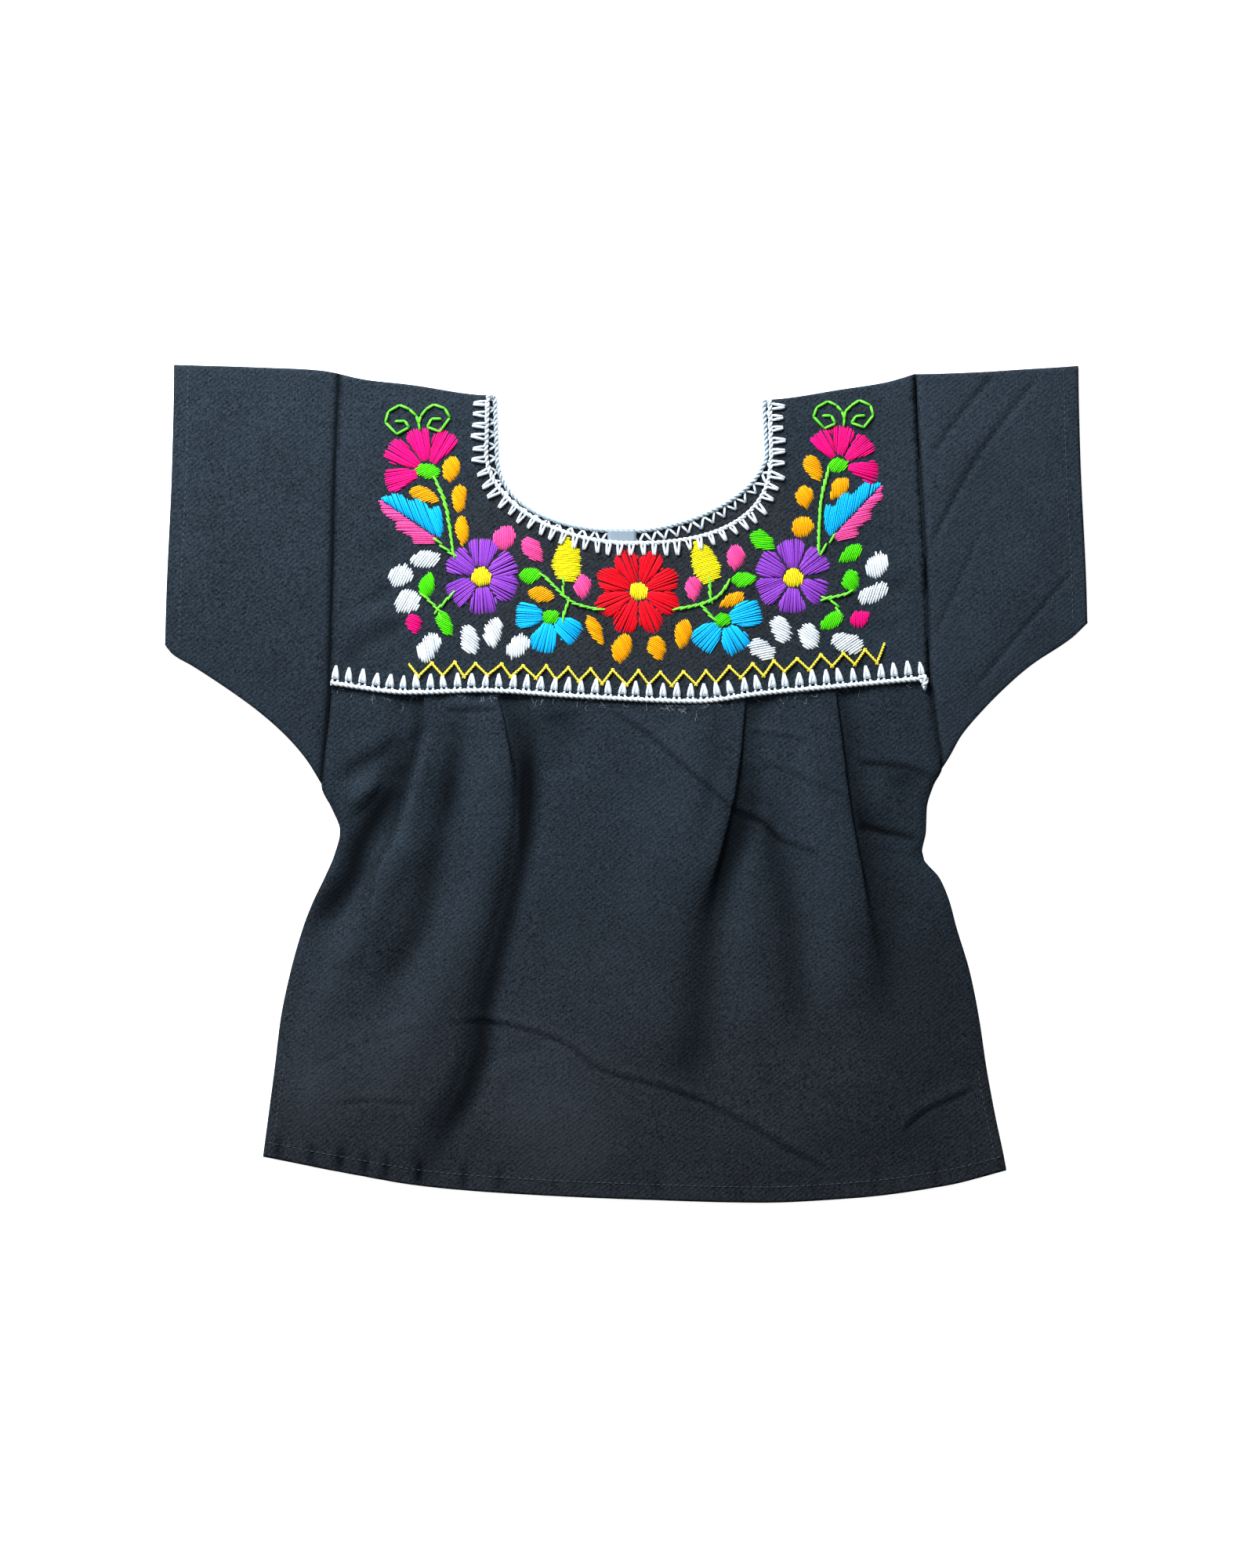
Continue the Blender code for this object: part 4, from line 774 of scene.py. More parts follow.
def sleeve(name, side, table, finish):
    """A flattened tube, folded along its top, from the armhole seam to the open cuff."""
    low_line = curve_through([(row.along, row.low_y) for row in table])
    top_line = curve_through([(row.along, row.top_y) for row in table])
    seam_x = left_side if side < 0 else right_side

    def ring(along):
        low, top = low_line(along), top_line(along)
        height = top - low
        end = (FOLD_RADIUS + CLOTH / 2) / height
        count = SLEEVE_POINTS // 2
        ups = mix(end, 1 - end, np.linspace(0, 1, count))
        bend = np.linspace(-np.pi / 2, np.pi / 2, BEND_POINTS)[1:-1]
        turned = FOLD_RADIUS / height * np.cos(bend)
        bend_z = BACK_MID + FOLD_RADIUS * (1 + np.sin(bend))
        up = np.concatenate([ups, 1 - end + turned, ups[::-1], end - turned[::-1]])
        z = np.concatenate([np.full(count, BACK_MID), bend_z, np.full(count, FRONT_MID), bend_z[::-1]])
        rising = ease(0, 1, np.linspace(0, 1, BEND_POINTS)[1:-1])
        upper = np.concatenate([np.zeros(count), rising, np.ones(count), rising[::-1]])
        y = mix(low, top, up)
        cuff = cuff_line((y - low_line(1)) / (top_line(1) - low_line(1)))
        start = seam_x(y) + mix(*SLEEVE_START, upper) * side
        x = mix(start, side * cuff, along)
        outward = np.abs(x - seam_x(y))
        front = upper * ease(0, SLEEVE_ROUNDING, up) * ease(0, SLEEVE_ROUNDING, 1 - up)
        folds = fold_height(SLEEVE_FOLDS, x, y) + unevenness(x, y, *LUMPS["sleeve"])
        creases = crease_height(SLEEVE_CREASES, x, y) + unevenness(x, y, *LUMPS["sleeve fine"])
        cuff_fade = mix(CUFF_FLATNESS, 1.0, ease(0, CUFF_FADE, np.abs(side * cuff - x)))
        dip = SLEEVE_EDGE_DIP * np.exp(-(outward / DIP_WIDTH) ** 2) * upper
        edge = ease(0.0, 5.0, np.minimum(up, 1 - up) * height)
        z = z + front * cuff_fade * (SLEEVE_PUFF + folds) + creases * upper * edge * ease(1, 6, outward) - dip
        return np.column_stack([x, y, np.maximum(z, BACK_MID)])

    alongs = np.linspace(0, 1, SLEEVE_STATIONS) ** STATION_POWER
    rings = [ring(along) for along in alongs]
    if side > 0:
        rings = [points[::-1] for points in rings]
    faces = grid_faces(len(rings), len(rings[0]), ring=True)
    points = np.vstack(rings)
    # Painted shading on the sleeve's upper layer only
    nap = np.where(points[:, 2] > 2 * BACK_MID, sleeve_nap(points[:, 0], points[:, 1]), 0.0)
    return shell(name, points, faces, finish, nap=nap)


def neck_half(neck, side, grow, count):
    """Points of one side of a neckline from the bottom up to just below the shoulder."""
    half = (neck.left if side < 0 else neck.right) + grow
    top = (neck.top_left if side < 0 else neck.top_right) + grow
    power = neck.power_left if side < 0 else neck.power_right
    depth = neck.curve_top - neck.bottom + grow
    angle = np.linspace(0, np.pi / 2, count + 1)
    x = neck.middle_x + side * half * np.sin(angle) ** (2 / power)
    y = neck.curve_top - depth * np.abs(np.cos(angle)) ** (2 / power)
    shares = np.array(NECK_SIDE_SHARES)
    side_y = mix(neck.curve_top, shoulder_line(side * top), shares)
    side_x = neck.middle_x + side * mix(half, top - side * neck.middle_x, shares)
    return np.column_stack([np.concatenate([x, side_x]), np.concatenate([y, side_y])])


def neckline(neck, grow):
    """Points of a neckline from the left shoulder down round the neck to the right one."""
    left = neck_half(neck, -1, grow, NECK_STEPS // 2)
    right = neck_half(neck, 1, grow, NECK_STEPS // 2)
    return np.vstack([left[:0:-1], right])


TURN = FOLD_RADIUS * np.pi / 2


def pattern_q(x, y, face):
    """Distance along the yoke's cloth from the shoulder fold; face is 1 on the front, -1 on the back."""
    return face * (shoulder_line(x) - CLOTH / 2 - FOLD_RADIUS - y + TURN)


def fold_over(x, q):
    """Points of the yoke's flat pattern, folded over the shoulder."""
    top = shoulder_line(x) - CLOTH / 2
    angle = np.clip(q / FOLD_RADIUS, -np.pi / 2, np.pi / 2)
    flat_y = top - FOLD_RADIUS - (np.abs(q) - TURN)
    bent = np.abs(q) <= TURN
    y = np.where(bent, top - FOLD_RADIUS + FOLD_RADIUS * np.cos(angle), flat_y)
    z = np.where(q > 0, yoke_height(x, flat_y), BACK_MID)
    z = np.where(bent, BACK_MID + FOLD_RADIUS * (1 + np.sin(angle)), z)
    return np.column_stack([x, y, z])


def resampled(points, step):
    """The same line with points about a step apart."""
    points = np.asarray(points, float)
    walked = np.concatenate([[0.0], np.cumsum(np.linalg.norm(np.diff(points, axis=0), axis=1))])
    goals = np.linspace(0, walked[-1], max(2, round(walked[-1] / step) + 1))
    return np.column_stack([np.interp(goals, walked, column) for column in points.T])


def within(outline, x, y):
    """Which points lie inside a closed outline."""
    crossings = np.zeros(np.shape(x), bool)
    for (ax, ay), (bx, by) in zip(outline, np.roll(outline, -1, axis=0)):
        if ay == by:
            continue
        crossings ^= ((ay > y) != (by > y)) & (x < ax + (y - ay) / (by - ay) * (bx - ax))
    return crossings


def yoke(finish):
    """One piece of cloth with a neck hole, folded over the shoulders."""
    bends = np.linspace(TURN, -TURN, BEND_POINTS)
    side_ys = np.linspace(yoke_seam(-145), shoulder_line(-139) - 2, SIDE_POINTS)
    seam_xs = np.linspace(left_side(48.5), right_side(51), SEAM_POINTS)

    def flat(line, face):
        return np.column_stack([line[:, 0], pattern_q(line[:, 0], line[:, 1], face)])

    def over(x, qs):
        return np.column_stack([np.full(BEND_POINTS, x), qs])

    right, left = (np.column_stack([side_x(side_ys), side_ys])[1:] for side_x in (right_side, left_side))
    seam = np.column_stack([seam_xs, yoke_seam(seam_xs)])
    outer = np.vstack([flat(seam, 1), flat(right, 1), over(right_side(199), bends), flat(right, -1)[::-1],
                       flat(seam, -1)[::-1], flat(left, -1), over(left_side(199), bends[::-1]),
                       flat(left, 1)[::-1]])
    front, back = neckline(FRONT_NECK, 0.5), neckline(BACK_NECK, 0.5)
    hole = np.vstack([flat(front, 1), over(mix(front[-1, 0], back[-1, 0], 0.5), bends),
                      flat(back[::-1], -1), over(mix(front[0, 0], back[0, 0], 0.5), bends[::-1])])

    along = np.arange(-YOKE_REACH, YOKE_REACH, YOKE_GRID)
    grid_x, grid_q = np.meshgrid(along, np.arange(-YOKE_REACH, YOKE_REACH, YOKE_GRID * 0.866))
    grid_x = grid_x + (np.arange(len(grid_x))[:, None] % 2) * YOKE_GRID / 2
    keep = np.abs(grid_q) > TURN + 1.2
    loose = np.column_stack([grid_x[keep], grid_q[keep]])
    middle = hole.mean(axis=0)
    keep = within(outer * 0.988, *loose.T) & ~within(middle + (hole - middle) * 1.018, *loose.T)
    folds = [(side * x, q) for side in (-1, 1) for x in np.arange(72, 138, 3.0) for q in bends]
    edges, first = [], 0
    for loop in (outer, hole):
        edges += [(first + i, first + (i + 1) % len(loop)) for i in range(len(loop))]
        first += len(loop)
    points = np.vstack([outer, hole, loose[keep], folds])
    verts, _, faces, _, _, _ = delaunay_2d_cdt([Vector(p) for p in points], edges, [], 0, 1e-5)
    verts = np.array([tuple(v) for v in verts])
    faces = np.array([tuple(face) for face in faces])
    middle_x, middle_q = verts[faces].mean(axis=1).T
    faces = faces[within(outer, middle_x, middle_q) & ~within(hole, middle_x, middle_q)]
    used, faces = np.unique(faces, return_inverse=True)
    verts = verts[used]
    folded = fold_over(verts[:, 0], verts[:, 1])
    # Painted shading on the front of the yoke only
    nap = np.where(verts[:, 1] > 0, yoke_nap(folded[:, 0], folded[:, 1]), 0.0)
    return shell("yoke_cloth", folded, faces.reshape(-1, 3)[:, ::-1], finish, nap=nap)


class Surfaces:
    """Finds the height of the cloth under a point, so that stitches sit on it."""

    def __init__(self, objects):
        bpy.context.view_layer.update()
        depsgraph = bpy.context.evaluated_depsgraph_get()
        self.trees = [BVHTree.FromObject(made, depsgraph) for made in objects]

    def height(self, x, y):
        found = []
        for tree in self.trees:
            place, _, _, _ = tree.ray_cast(Vector((x * MM, y * MM, 0.05)), Vector((0, 0, -1)))
            if place is not None:
                found.append(place.z / MM)
        return max(found, default=FRONT_MID + CLOTH / 2)

    def heights(self, points):
        return np.array([self.height(x, y) for x, y in points])

    def lifted(self, points, above):
        """The same points in three dimensions, a height above the cloth."""
        points = np.asarray(points, float)
        return np.column_stack([points, self.heights(points) + above])


def linear(hex_colour):
    """An sRGB hex colour as the linear values that a shader takes."""
    parts = np.array([int(hex_colour[i:i + 2], 16) / 255 for i in (1, 3, 5)])
    values = np.where(parts <= 0.04045, parts / 12.92, ((parts + 0.055) / 1.055) ** 2.4)
    return (*values, 1.0)


def add_node(tree, kind, inputs=None, **settings):
    """Adds a node with its settings. Inputs go by identifier, name or place, each a value or an output."""
    node = tree.nodes.new(kind)
    for label, value in settings.items():
        setattr(node, label, value)
    known = {socket.identifier: socket for socket in node.inputs}
    for label, value in (inputs or {}).items():
        socket = known.get(label) or node.inputs[label]
        if isinstance(value, bpy.types.NodeSocket):
            tree.links.new(value, socket)
        else:
            socket.default_value = value
    return node


def maths(tree, operation, a, b=0.0, **settings):
    return add_node(tree, "ShaderNodeMath", {0: a, 1: b}, operation=operation, **settings).outputs[0]


def vector_maths(tree, operation, inputs):
    return add_node(tree, "ShaderNodeVectorMath", inputs, operation=operation).outputs[0]


def new_tree(name, sockets):
    """A geometry tree that takes guide lines and named sizes: itself, its inputs and the lines as curves."""
    tree = bpy.data.node_groups.new(name, "GeometryNodeTree")
    tree.interface.new_socket("Geometry", in_out="OUTPUT", socket_type="NodeSocketGeometry")
    for label, kind in {"Geometry": "Geometry", **sockets, "Material": "Material"}.items():
        tree.interface.new_socket(label, in_out="INPUT", socket_type=f"NodeSocket{kind}")
    given = tree.nodes.new("NodeGroupInput").outputs
    return tree, given, add_node(tree, "GeometryNodeMeshToCurve", {"Mesh": given["Geometry"]}).outputs[0]


def swept(tree, curve, sides, radius, scale):
    """Round yarn along curves."""
    profile = add_node(tree, "GeometryNodeCurvePrimitiveCircle", {"Resolution": sides, "Radius": radius})
    return add_node(tree, "GeometryNodeCurveToMesh", {
        "Curve": curve, "Profile Curve": profile.outputs[0], "Scale": scale, "Fill Caps": True,
    }).outputs[0]


def own_value(tree, name):
    """The value that each guide point carries under a name."""
    return add_node(tree, "GeometryNodeInputNamedAttribute", {"Name": name}, data_type="FLOAT").outputs[0]


def close_tree(tree, geometry, material):
    """Ends a tree: instances made real, then the material."""
    real = add_node(tree, "GeometryNodeRealizeInstances", {"Geometry": geometry}).outputs[0]
    smooth = add_node(tree, "GeometryNodeSetShadeSmooth", {"Geometry": real}).outputs[0]
    finished = add_node(tree, "GeometryNodeSetMaterial", {"Geometry": smooth, "Material": material})
    add_node(tree, "NodeGroupOutput", {"Geometry": finished.outputs[0]})
    return tree


def yarn_tree():
    """Round yarn along guide lines, as thick as each guide's own thickness says."""
    tree, given, line = new_tree("yarn along guides", {"Sides": "Int"})
    yarn = swept(tree, line, given["Sides"], 1.0, own_value(tree, "thickness"))
    return close_tree(tree, yarn, given["Material"])


def twist_tree():
    """Plies of yarn twisted about each guide line."""
    tree, given, line = new_tree("twisted plies", {
        "Plies": "Int", "Ply Radius": "Float", "Ply Offset": "Float", "Pitch": "Float", "Step": "Float",
    })
    even = add_node(tree, "GeometryNodeResampleCurve", {"Curve": line, "Length": given["Step"]},
                    mode="LENGTH")
    plies = add_node(tree, "GeometryNodeDuplicateElements", {
        "Geometry": even.outputs[0], "Amount": given["Plies"],
    }, domain="SPLINE")
    place = add_node(tree, "GeometryNodeSplineParameter")
    turns = maths(tree, "DIVIDE", place.outputs["Length"], given["Pitch"])
    share = maths(tree, "DIVIDE", plies.outputs["Duplicate Index"], given["Plies"])
    angle = maths(tree, "MULTIPLY", maths(tree, "ADD", turns, share), 2 * np.pi)
    normal = add_node(tree, "GeometryNodeInputNormal").outputs[0]
    tangent = add_node(tree, "GeometryNodeInputTangent").outputs[0]
    across = vector_maths(tree, "CROSS_PRODUCT", {0: tangent, 1: normal})
    upward, sideways = (
        vector_maths(tree, "SCALE", {
            0: way, "Scale": maths(tree, "MULTIPLY", maths(tree, wave, angle), given["Ply Offset"]),
        }) for way, wave in ((normal, "COSINE"), (across, "SINE")))
    moved = add_node(tree, "GeometryNodeSetPosition", {
        "Geometry": plies.outputs["Geometry"], "Offset": vector_maths(tree, "ADD", {0: upward, 1: sideways}),
    })
    return close_tree(tree, swept(tree, moved.outputs[0], 7, given["Ply Radius"], 1.0), given["Material"])


def stitch_tree():
    """Copies of a few hand-made stitches along guide lines, each a little larger, smaller or turned."""
    tree, given, line = new_tree("stitches along a line", {
        "Stitches": "Collection", "Pitch": "Float", "Smallest": "Float", "Largest": "Float", "Turn": "Float",
        "Seed": "Int",
    })

    def drawn(low, high, seed):
        return add_node(tree, "FunctionNodeRandomValue", {"Min_001": low, "Max_001": high, "Seed": seed},
                        data_type="FLOAT").outputs[1]

    spots = add_node(tree, "GeometryNodeCurveToPoints", {"Curve": line, "Length": given["Pitch"]},
                     mode="LENGTH")
    heading = add_node(tree, "FunctionNodeAlignRotationToVector", {"Vector": spots.outputs["Tangent"]},
                       axis="X", pivot_axis="Z")
    turn = drawn(maths(tree, "MULTIPLY", given["Turn"], -1.0), given["Turn"], given["Seed"])
    about_z = add_node(tree, "ShaderNodeCombineXYZ", {"Z": turn})
    small_turn = add_node(tree, "FunctionNodeEulerToRotation", {"Euler": about_z.outputs[0]})
    rotation = add_node(tree, "FunctionNodeRotateRotation", {
        "Rotation": heading.outputs[0], "Rotate By": small_turn.outputs[0],
    }, rotation_space="LOCAL")
    size = drawn(given["Smallest"], given["Largest"], maths(tree, "ADD", given["Seed"], 100.0))
    choice = add_node(tree, "FunctionNodeRandomValue", {
        "Min_002": 0, "Max_002": TEMPLATE_COUNT - 1, "Seed": given["Seed"],
    }, data_type="INT")
    kinds = add_node(tree, "GeometryNodeCollectionInfo", {
        "Collection": given["Stitches"], "Separate Children": True, "Reset Children": True,
    })
    placed = add_node(tree, "GeometryNodeInstanceOnPoints", {
        "Points": spots.outputs["Points"], "Instance": kinds.outputs[0], "Pick Instance": True,
        "Instance Index": choice.outputs[2], "Rotation": rotation.outputs[0],
        "Scale": maths(tree, "MULTIPLY", size, own_value(tree, "size")),
    })
    return close_tree(tree, placed.outputs[0], given["Material"])


def guides(name, lines, **attributes):
    """A mesh of open lines in three dimensions, with a value for every point under each attribute's name."""
    mesh = bpy.data.meshes.new(name)
    edges, first = [], 0
    for line in lines:
        edges += [(first + i, first + i + 1) for i in range(len(line) - 1)]
        first += len(line)
    mesh.from_pydata((np.vstack(lines) * MM).tolist(), edges, [])
    for label, values in attributes.items():
        layer = mesh.attributes.new(label, "FLOAT", "POINT")
        layer.data.foreach_set("value", np.concatenate(values).astype(np.float32))
    return mesh


def piece_from_tree(name, mesh, tree, values):
    """Runs a tree on guide lines and keeps what it makes as a plain mesh."""
    made = link(name, mesh)
    grow = made.modifiers.new(tree.name, "NODES")
    grow.node_group = tree
    identifiers = {item.name: item.identifier for item in tree.interface.items_tree if item.in_out == "INPUT"}
    for label, value in values.items():
        grow[identifiers[label]] = value
    return settled(made)


def twisted(name, lines, ply, trees, finish, **attributes):
    """A cord of two plies along lines."""
    return piece_from_tree(name, guides(name, lines, **attributes), trees["twist"], {
        "Plies": 2, "Ply Radius": ply.radius * MM, "Ply Offset": ply.offset * MM, "Pitch": ply.pitch * MM,
        "Step": ply.step * MM, "Material": finish,
    })


def stitched(name, lines, make, trees, finish, size=1.0):
    """A piece of repeated stitches along lines, as its row of STITCHES says."""
    row = STITCHES[name]
    sizes = [np.full(len(line), size) for line in lines]
    return piece_from_tree(name, guides(name, lines, size=sizes), trees["stitches"], {
        "Stitches": templates(make, row.shape_seed), "Pitch": row.pitch * MM, "Smallest": row.smallest,
        "Largest": row.largest, "Turn": row.turn, "Seed": row.place_seed, "Material": finish,
    })


def tube(line, radii, sides=8):
    """Points and faces of a closed tube along a line in the XY plane, rounded off at both ends."""
    line = np.asarray(line, float)
    heading = np.gradient(line, axis=0)
    heading /= np.linalg.norm(heading, axis=1)[:, None]
    across = np.cross(heading, (0.0, 0.0, 1.0))
    across /= np.linalg.norm(across, axis=1)[:, None]
    up = np.cross(across, heading)
    angles = np.linspace(0, 2 * np.pi, sides, endpoint=False)
    rings = [p + r * (np.outer(np.cos(angles), a) + np.outer(np.sin(angles), u))
             for p, r, a, u in zip(line, radii, across, up)]
    points = np.vstack([line[:1], *rings, line[-1:]])
    count = len(line)
    faces = [(0, 1 + (i + 1) % sides, 1 + i) for i in range(sides)]
    for k in range(count - 1):
        for i in range(sides):
            j = (i + 1) % sides
            low, high = 1 + k * sides, 1 + (k + 1) * sides
            faces.append((low + i, low + j, high + j, high + i))
    last, tip = 1 + (count - 1) * sides, 1 + count * sides
    faces += [(last + i, last + (i + 1) % sides, tip) for i in range(sides)]
    return points, faces


def templates(make, seed):
    """A hidden collection of one kind of stitch, each a little different, as patterns for the stitch tree."""
    collection = bpy.data.collections.new(make.__name__)
    random = np.random.default_rng(seed)
    for k in range(TEMPLATE_COUNT):
        points, faces, first = [], [], 0
        for tube_points, tube_faces in make(random):
            points.append(tube_points)
            faces += [tuple(first + i for i in face) for face in tube_faces]
            first += len(tube_points)
        mesh = bpy.data.meshes.new(f"{make.__name__} {k}")
        mesh.from_pydata((np.vstack(points) * MM).tolist(), [], faces)
        collection.objects.link(bpy.data.objects.new(mesh.name, mesh))
    return collection


def tooth(random):
    """Blanket stitch: strands that meet in a narrow top, over a split foot tied down close to the cord."""
    height = TOOTH_HEIGHT * random.uniform(0.92, 1.06)
    foot = random.uniform(1.05, 1.35)
    lean = random.uniform(-0.6, 0.6)
    tubes = []
    for side in (-1, 1):
        t = np.array([0.13, 0.2, 0.38, 0.62, 0.84, 0.95, 1.0])
        spread = mix(foot, 0.22, ease(0.1, 1.0, t)) + random.uniform(-0.08, 0.08)
        x = side * spread + lean * t
        y = height * t + side * random.uniform(-0.2, 0.2) * t
        z = 0.35 + 0.5 * np.sin(np.pi * np.clip(t, 0.08, 0.95))
        tubes.append(tube(np.column_stack([x, y, z]), [0.5, 0.74, 0.84, 0.8, 0.62, 0.46, 0.26]))
        t = np.array([0, 0.3, 0.7, 1.0])
        low = np.column_stack([side * (foot + 0.25) - side * 0.2 * t, mix(-0.5, 0.72, t), 0.45 + 0.1 * t])
        tubes.append(tube(low, [0.4, 0.66, 0.62, 0.34]))
    middle = [(lean * t, height * t, z) for t, z in ((0.14, 0.4), (0.3, 0.7), (0.7, 0.6))]
    return [*tubes, tube(middle, [0.5, 0.74, 0.5], 7)]


def loop(random):
    """Neck stitch: two thinner strands that part a little, pointing away from the opening."""
    height = random.uniform(5.7, 6.7)
    foot = random.uniform(0.95, 1.25)
    lean = random.uniform(-0.9, 0.9)
    tubes = []
    for side in (-1, 1):
        t = np.array([0, 0.15, 0.4, 0.7, 0.92, 1.0])
        x = side * mix(foot, 0.42, ease(0, 1.0, t)) + lean * t
        y = height * t - 0.4 + side * random.uniform(-0.3, 0.3)
        z = 0.5 + 0.3 * np.sin(np.pi * np.clip(t, 0.05, 0.95))
        tubes.append(tube(np.column_stack([x, y, z]), [0.5, 0.62, 0.7, 0.74, 0.6, 0.32]))
    return tubes


def slant(random):
    """Inside the back neck: one slanting strand and its neighbour, thinner than the teeth."""
    half = random.uniform(2.5, 2.9)
    height = random.uniform(4.4, 5.4)
    rising = [(-half, 0, 0.35), (-half / 2, height / 2, 0.6), (0, height, 0.35)]
    falling = [(0.2, height, 0.4), (half / 2 + 0.2, height / 2, 0.6), (half + 0.2, 0, 0.4)]
    return [tube(line, [0.6, 0.66, 0.6], 7) for line in (rising, falling)]


def dash(random):
    """Machine stitch: a short dash that dives into the cloth at both ends."""
    half = DASH_LENGTH / 2 * random.uniform(0.85, 1.1)
    line = [(-half, 0, -0.2), (-half * 0.7, 0, 0.08), (half * 0.7, 0, 0.08), (half, 0, -0.2)]
    return [tube(line, [DASH_RADIUS] * 4, 6)]


def stem(random):
    """Stem stitch: a slanting strand that overlaps the next one, so that they read as a rope."""
    half = random.uniform(2.9, 3.4)
    slope = random.uniform(0.16, 0.24)
    t = np.array([-1, -0.8, 0, 0.8, 1])
    line = np.column_stack([half * t, half * t * slope, 0.35 - 0.55 * t ** 4 + 0.15])
    return [tube(line, [0.34, 0.56, 0.64, 0.56, 0.34])]


def outline_of(shape, length, half_width, random, uneven=0.12):
    """A shape's closed, hand-drawn outline about its base, with its axis along +X."""
    sides = []
    for side in (1, -1):
        halves = np.array(shape.half_widths) * random.uniform(1 - uneven, 1 + uneven / 2, len(shape.alongs))
        along = np.array(shape.alongs) + random.uniform(-0.4, 0.4, len(halves)) * uneven
        along = np.clip(np.sort(along), 0, 1)
        sides.append(np.column_stack([along * length, side * halves * half_width]))
    return np.vstack([sides[0], sides[1][::-1]])


def half_outline(shape, length, width):
    """One side of a wing, from its middle vein outwards; a negative width is the other side."""
    along = np.linspace(0, 1, 60)
    half = curve_through(tuple(zip(shape.alongs, shape.half_widths)))(along) * abs(width)
    edge = np.column_stack([along * length, half + 0.3])
    vein = np.array([(length, 0.3), (0.0, 0.3)])
    return np.vstack([edge, vein]) * (1, np.sign(width))


def turned(points, x, y, degrees):
    angle = np.radians(degrees)
    spin = np.array([(np.cos(angle), np.sin(angle)), (-np.sin(angle), np.cos(angle))])
    return points @ spin + (x, y)


def chord(outline, origin, heading):
    """Where a straight line enters and leaves an outline, as distances from its origin."""
    a = outline - origin
    b = np.roll(a, -1, axis=0)
    side_a = heading[0] * a[:, 1] - heading[1] * a[:, 0]
    side_b = heading[0] * b[:, 1] - heading[1] * b[:, 0]
    cut = side_a * side_b < 0
    if cut.sum() < 2:
        return None
    share = side_a[cut] / (side_a[cut] - side_b[cut])
    places = (a[cut] + share[:, None] * (b[cut] - a[cut])) @ heading
    return places.min(), places.max()


def satin(outline, random, slant=None, focus=None, spacing=THREAD_SPACING, ragged=0.35):
    """Ends of the threads that fill an outline: parallel at a slant, or spreading from a focus."""
    threads = []
    if focus is not None:
        from_focus = outline + (focus, 0)
        angles = np.arctan2(from_focus[:, 1], from_focus[:, 0])
        pace = spacing / (focus + 0.62 * outline[:, 0].max())
        rays = [((-focus, 0.0), angle) for angle in np.arange(angles.min() + pace * 0.4, angles.max(), pace)]
    else:
        angle = np.radians(slant)
        normal = np.array((-np.sin(angle), np.cos(angle)))
        reach = outline @ normal
        places = np.arange(reach.min() + spacing * 0.4, reach.max(), spacing)
        rays = [(normal * place, angle) for place in places]
    for k, (origin, angle) in enumerate(rays):
        angle = angle + random.uniform(-0.012, 0.012)
        heading = np.array((np.cos(angle), np.sin(angle)))
        found = chord(outline, np.array(origin), heading)
        if found is None:
            continue
        start, end = found
        start -= random.uniform(-0.2, ragged)
        end += random.uniform(-0.2, ragged)
        if end - start < SHORTEST_THREAD:
            continue
        crown = 1 - 0.2 * (2 * (k + 0.5) / len(rays) - 1) ** 4
        threads.append((origin + heading * start, origin + heading * end, crown))
    return threads


class Needlework:
    """Collects threads by colour and turns them into pieces."""

    def __init__(self, cloth):
        self.cloth = cloth
        self.random = np.random.default_rng(11)
        self.lines, self.thickness, self.shades = {}, {}, {}

    def add(self, colour, line, radii):
        line = np.asarray(line, float)
        self.lines.setdefault(colour, []).append(line)
        self.thickness.setdefault(colour, []).append(np.asarray(radii, float) * MM)
        shade = np.full(len(line), self.random.uniform(0.0, 1.0))
        self.shades.setdefault(colour, []).append(shade)

    def fill(self, colour, local_outline, x, y, angle, thread=THREAD_RADIUS, **how):
        """Fills one shape with raised satin stitch."""
        bend = np.array(SATIN_BEND)
        rise = 1 - np.abs(2 * bend - 1) ** 3
        for start, end, crown in satin(local_outline, self.random, **how):
            ends = turned(np.array([start, end]), x, y, angle)
            flat = mix(ends[0], ends[1], bend[:, None])
            length = np.hypot(*(ends[1] - ends[0]))
            height = SATIN_HEIGHT * crown * min(1.0, 0.45 + length / 16)
            base = self.cloth.heights(ends)
            z = mix(base[0], base[1], bend) + mix(-0.3, height - thread, rise)
            radius = thread * self.random.uniform(0.86, 1.08)
            radii = radius * np.array([0.55, 0.85, 1, 1, 1, 0.85, 0.55])
            self.add(colour, np.column_stack([flat, z]), radii)

    def stitch(self, colour, start, end, radius, height=0.55):
        """One straight stitch that rises out of the cloth and goes back in."""
        t = np.array([0, 0.12, 0.5, 0.88, 1.0])
        flat = mix(np.asarray(start, float), np.asarray(end, float), t[:, None])
        base = self.cloth.heights(flat)
        z = base + np.array([-0.25, 0.7, 1.0, 0.7, -0.25]) * height
        self.add(colour, np.column_stack([flat, z]), radius * np.array([0.6, 1, 1, 1, 0.6]))

    def piece(self, name, colour, tree, finish, sides=6):
        mesh = guides(name, self.lines[colour], thickness=self.thickness[colour], shade=self.shades[colour])
        return piece_from_tree(name, mesh, tree, {"Sides": sides, "Material": finish})


def material(name, roughness, sheen=0.0, sheen_roughness=0.5):
    """A material, its node tree and the object coordinates that its pattern lies in."""
    made = bpy.data.materials.new(name)
    made.use_nodes = True
    shader = made.node_tree.nodes["Principled BSDF"]
    values = {"Roughness": roughness, "Sheen Weight": sheen, "Sheen Roughness": sheen_roughness}
    for label, value in values.items():
        shader.inputs[label].default_value = value
    return made, made.node_tree, add_node(made.node_tree, "ShaderNodeTexCoord").outputs["Object"]


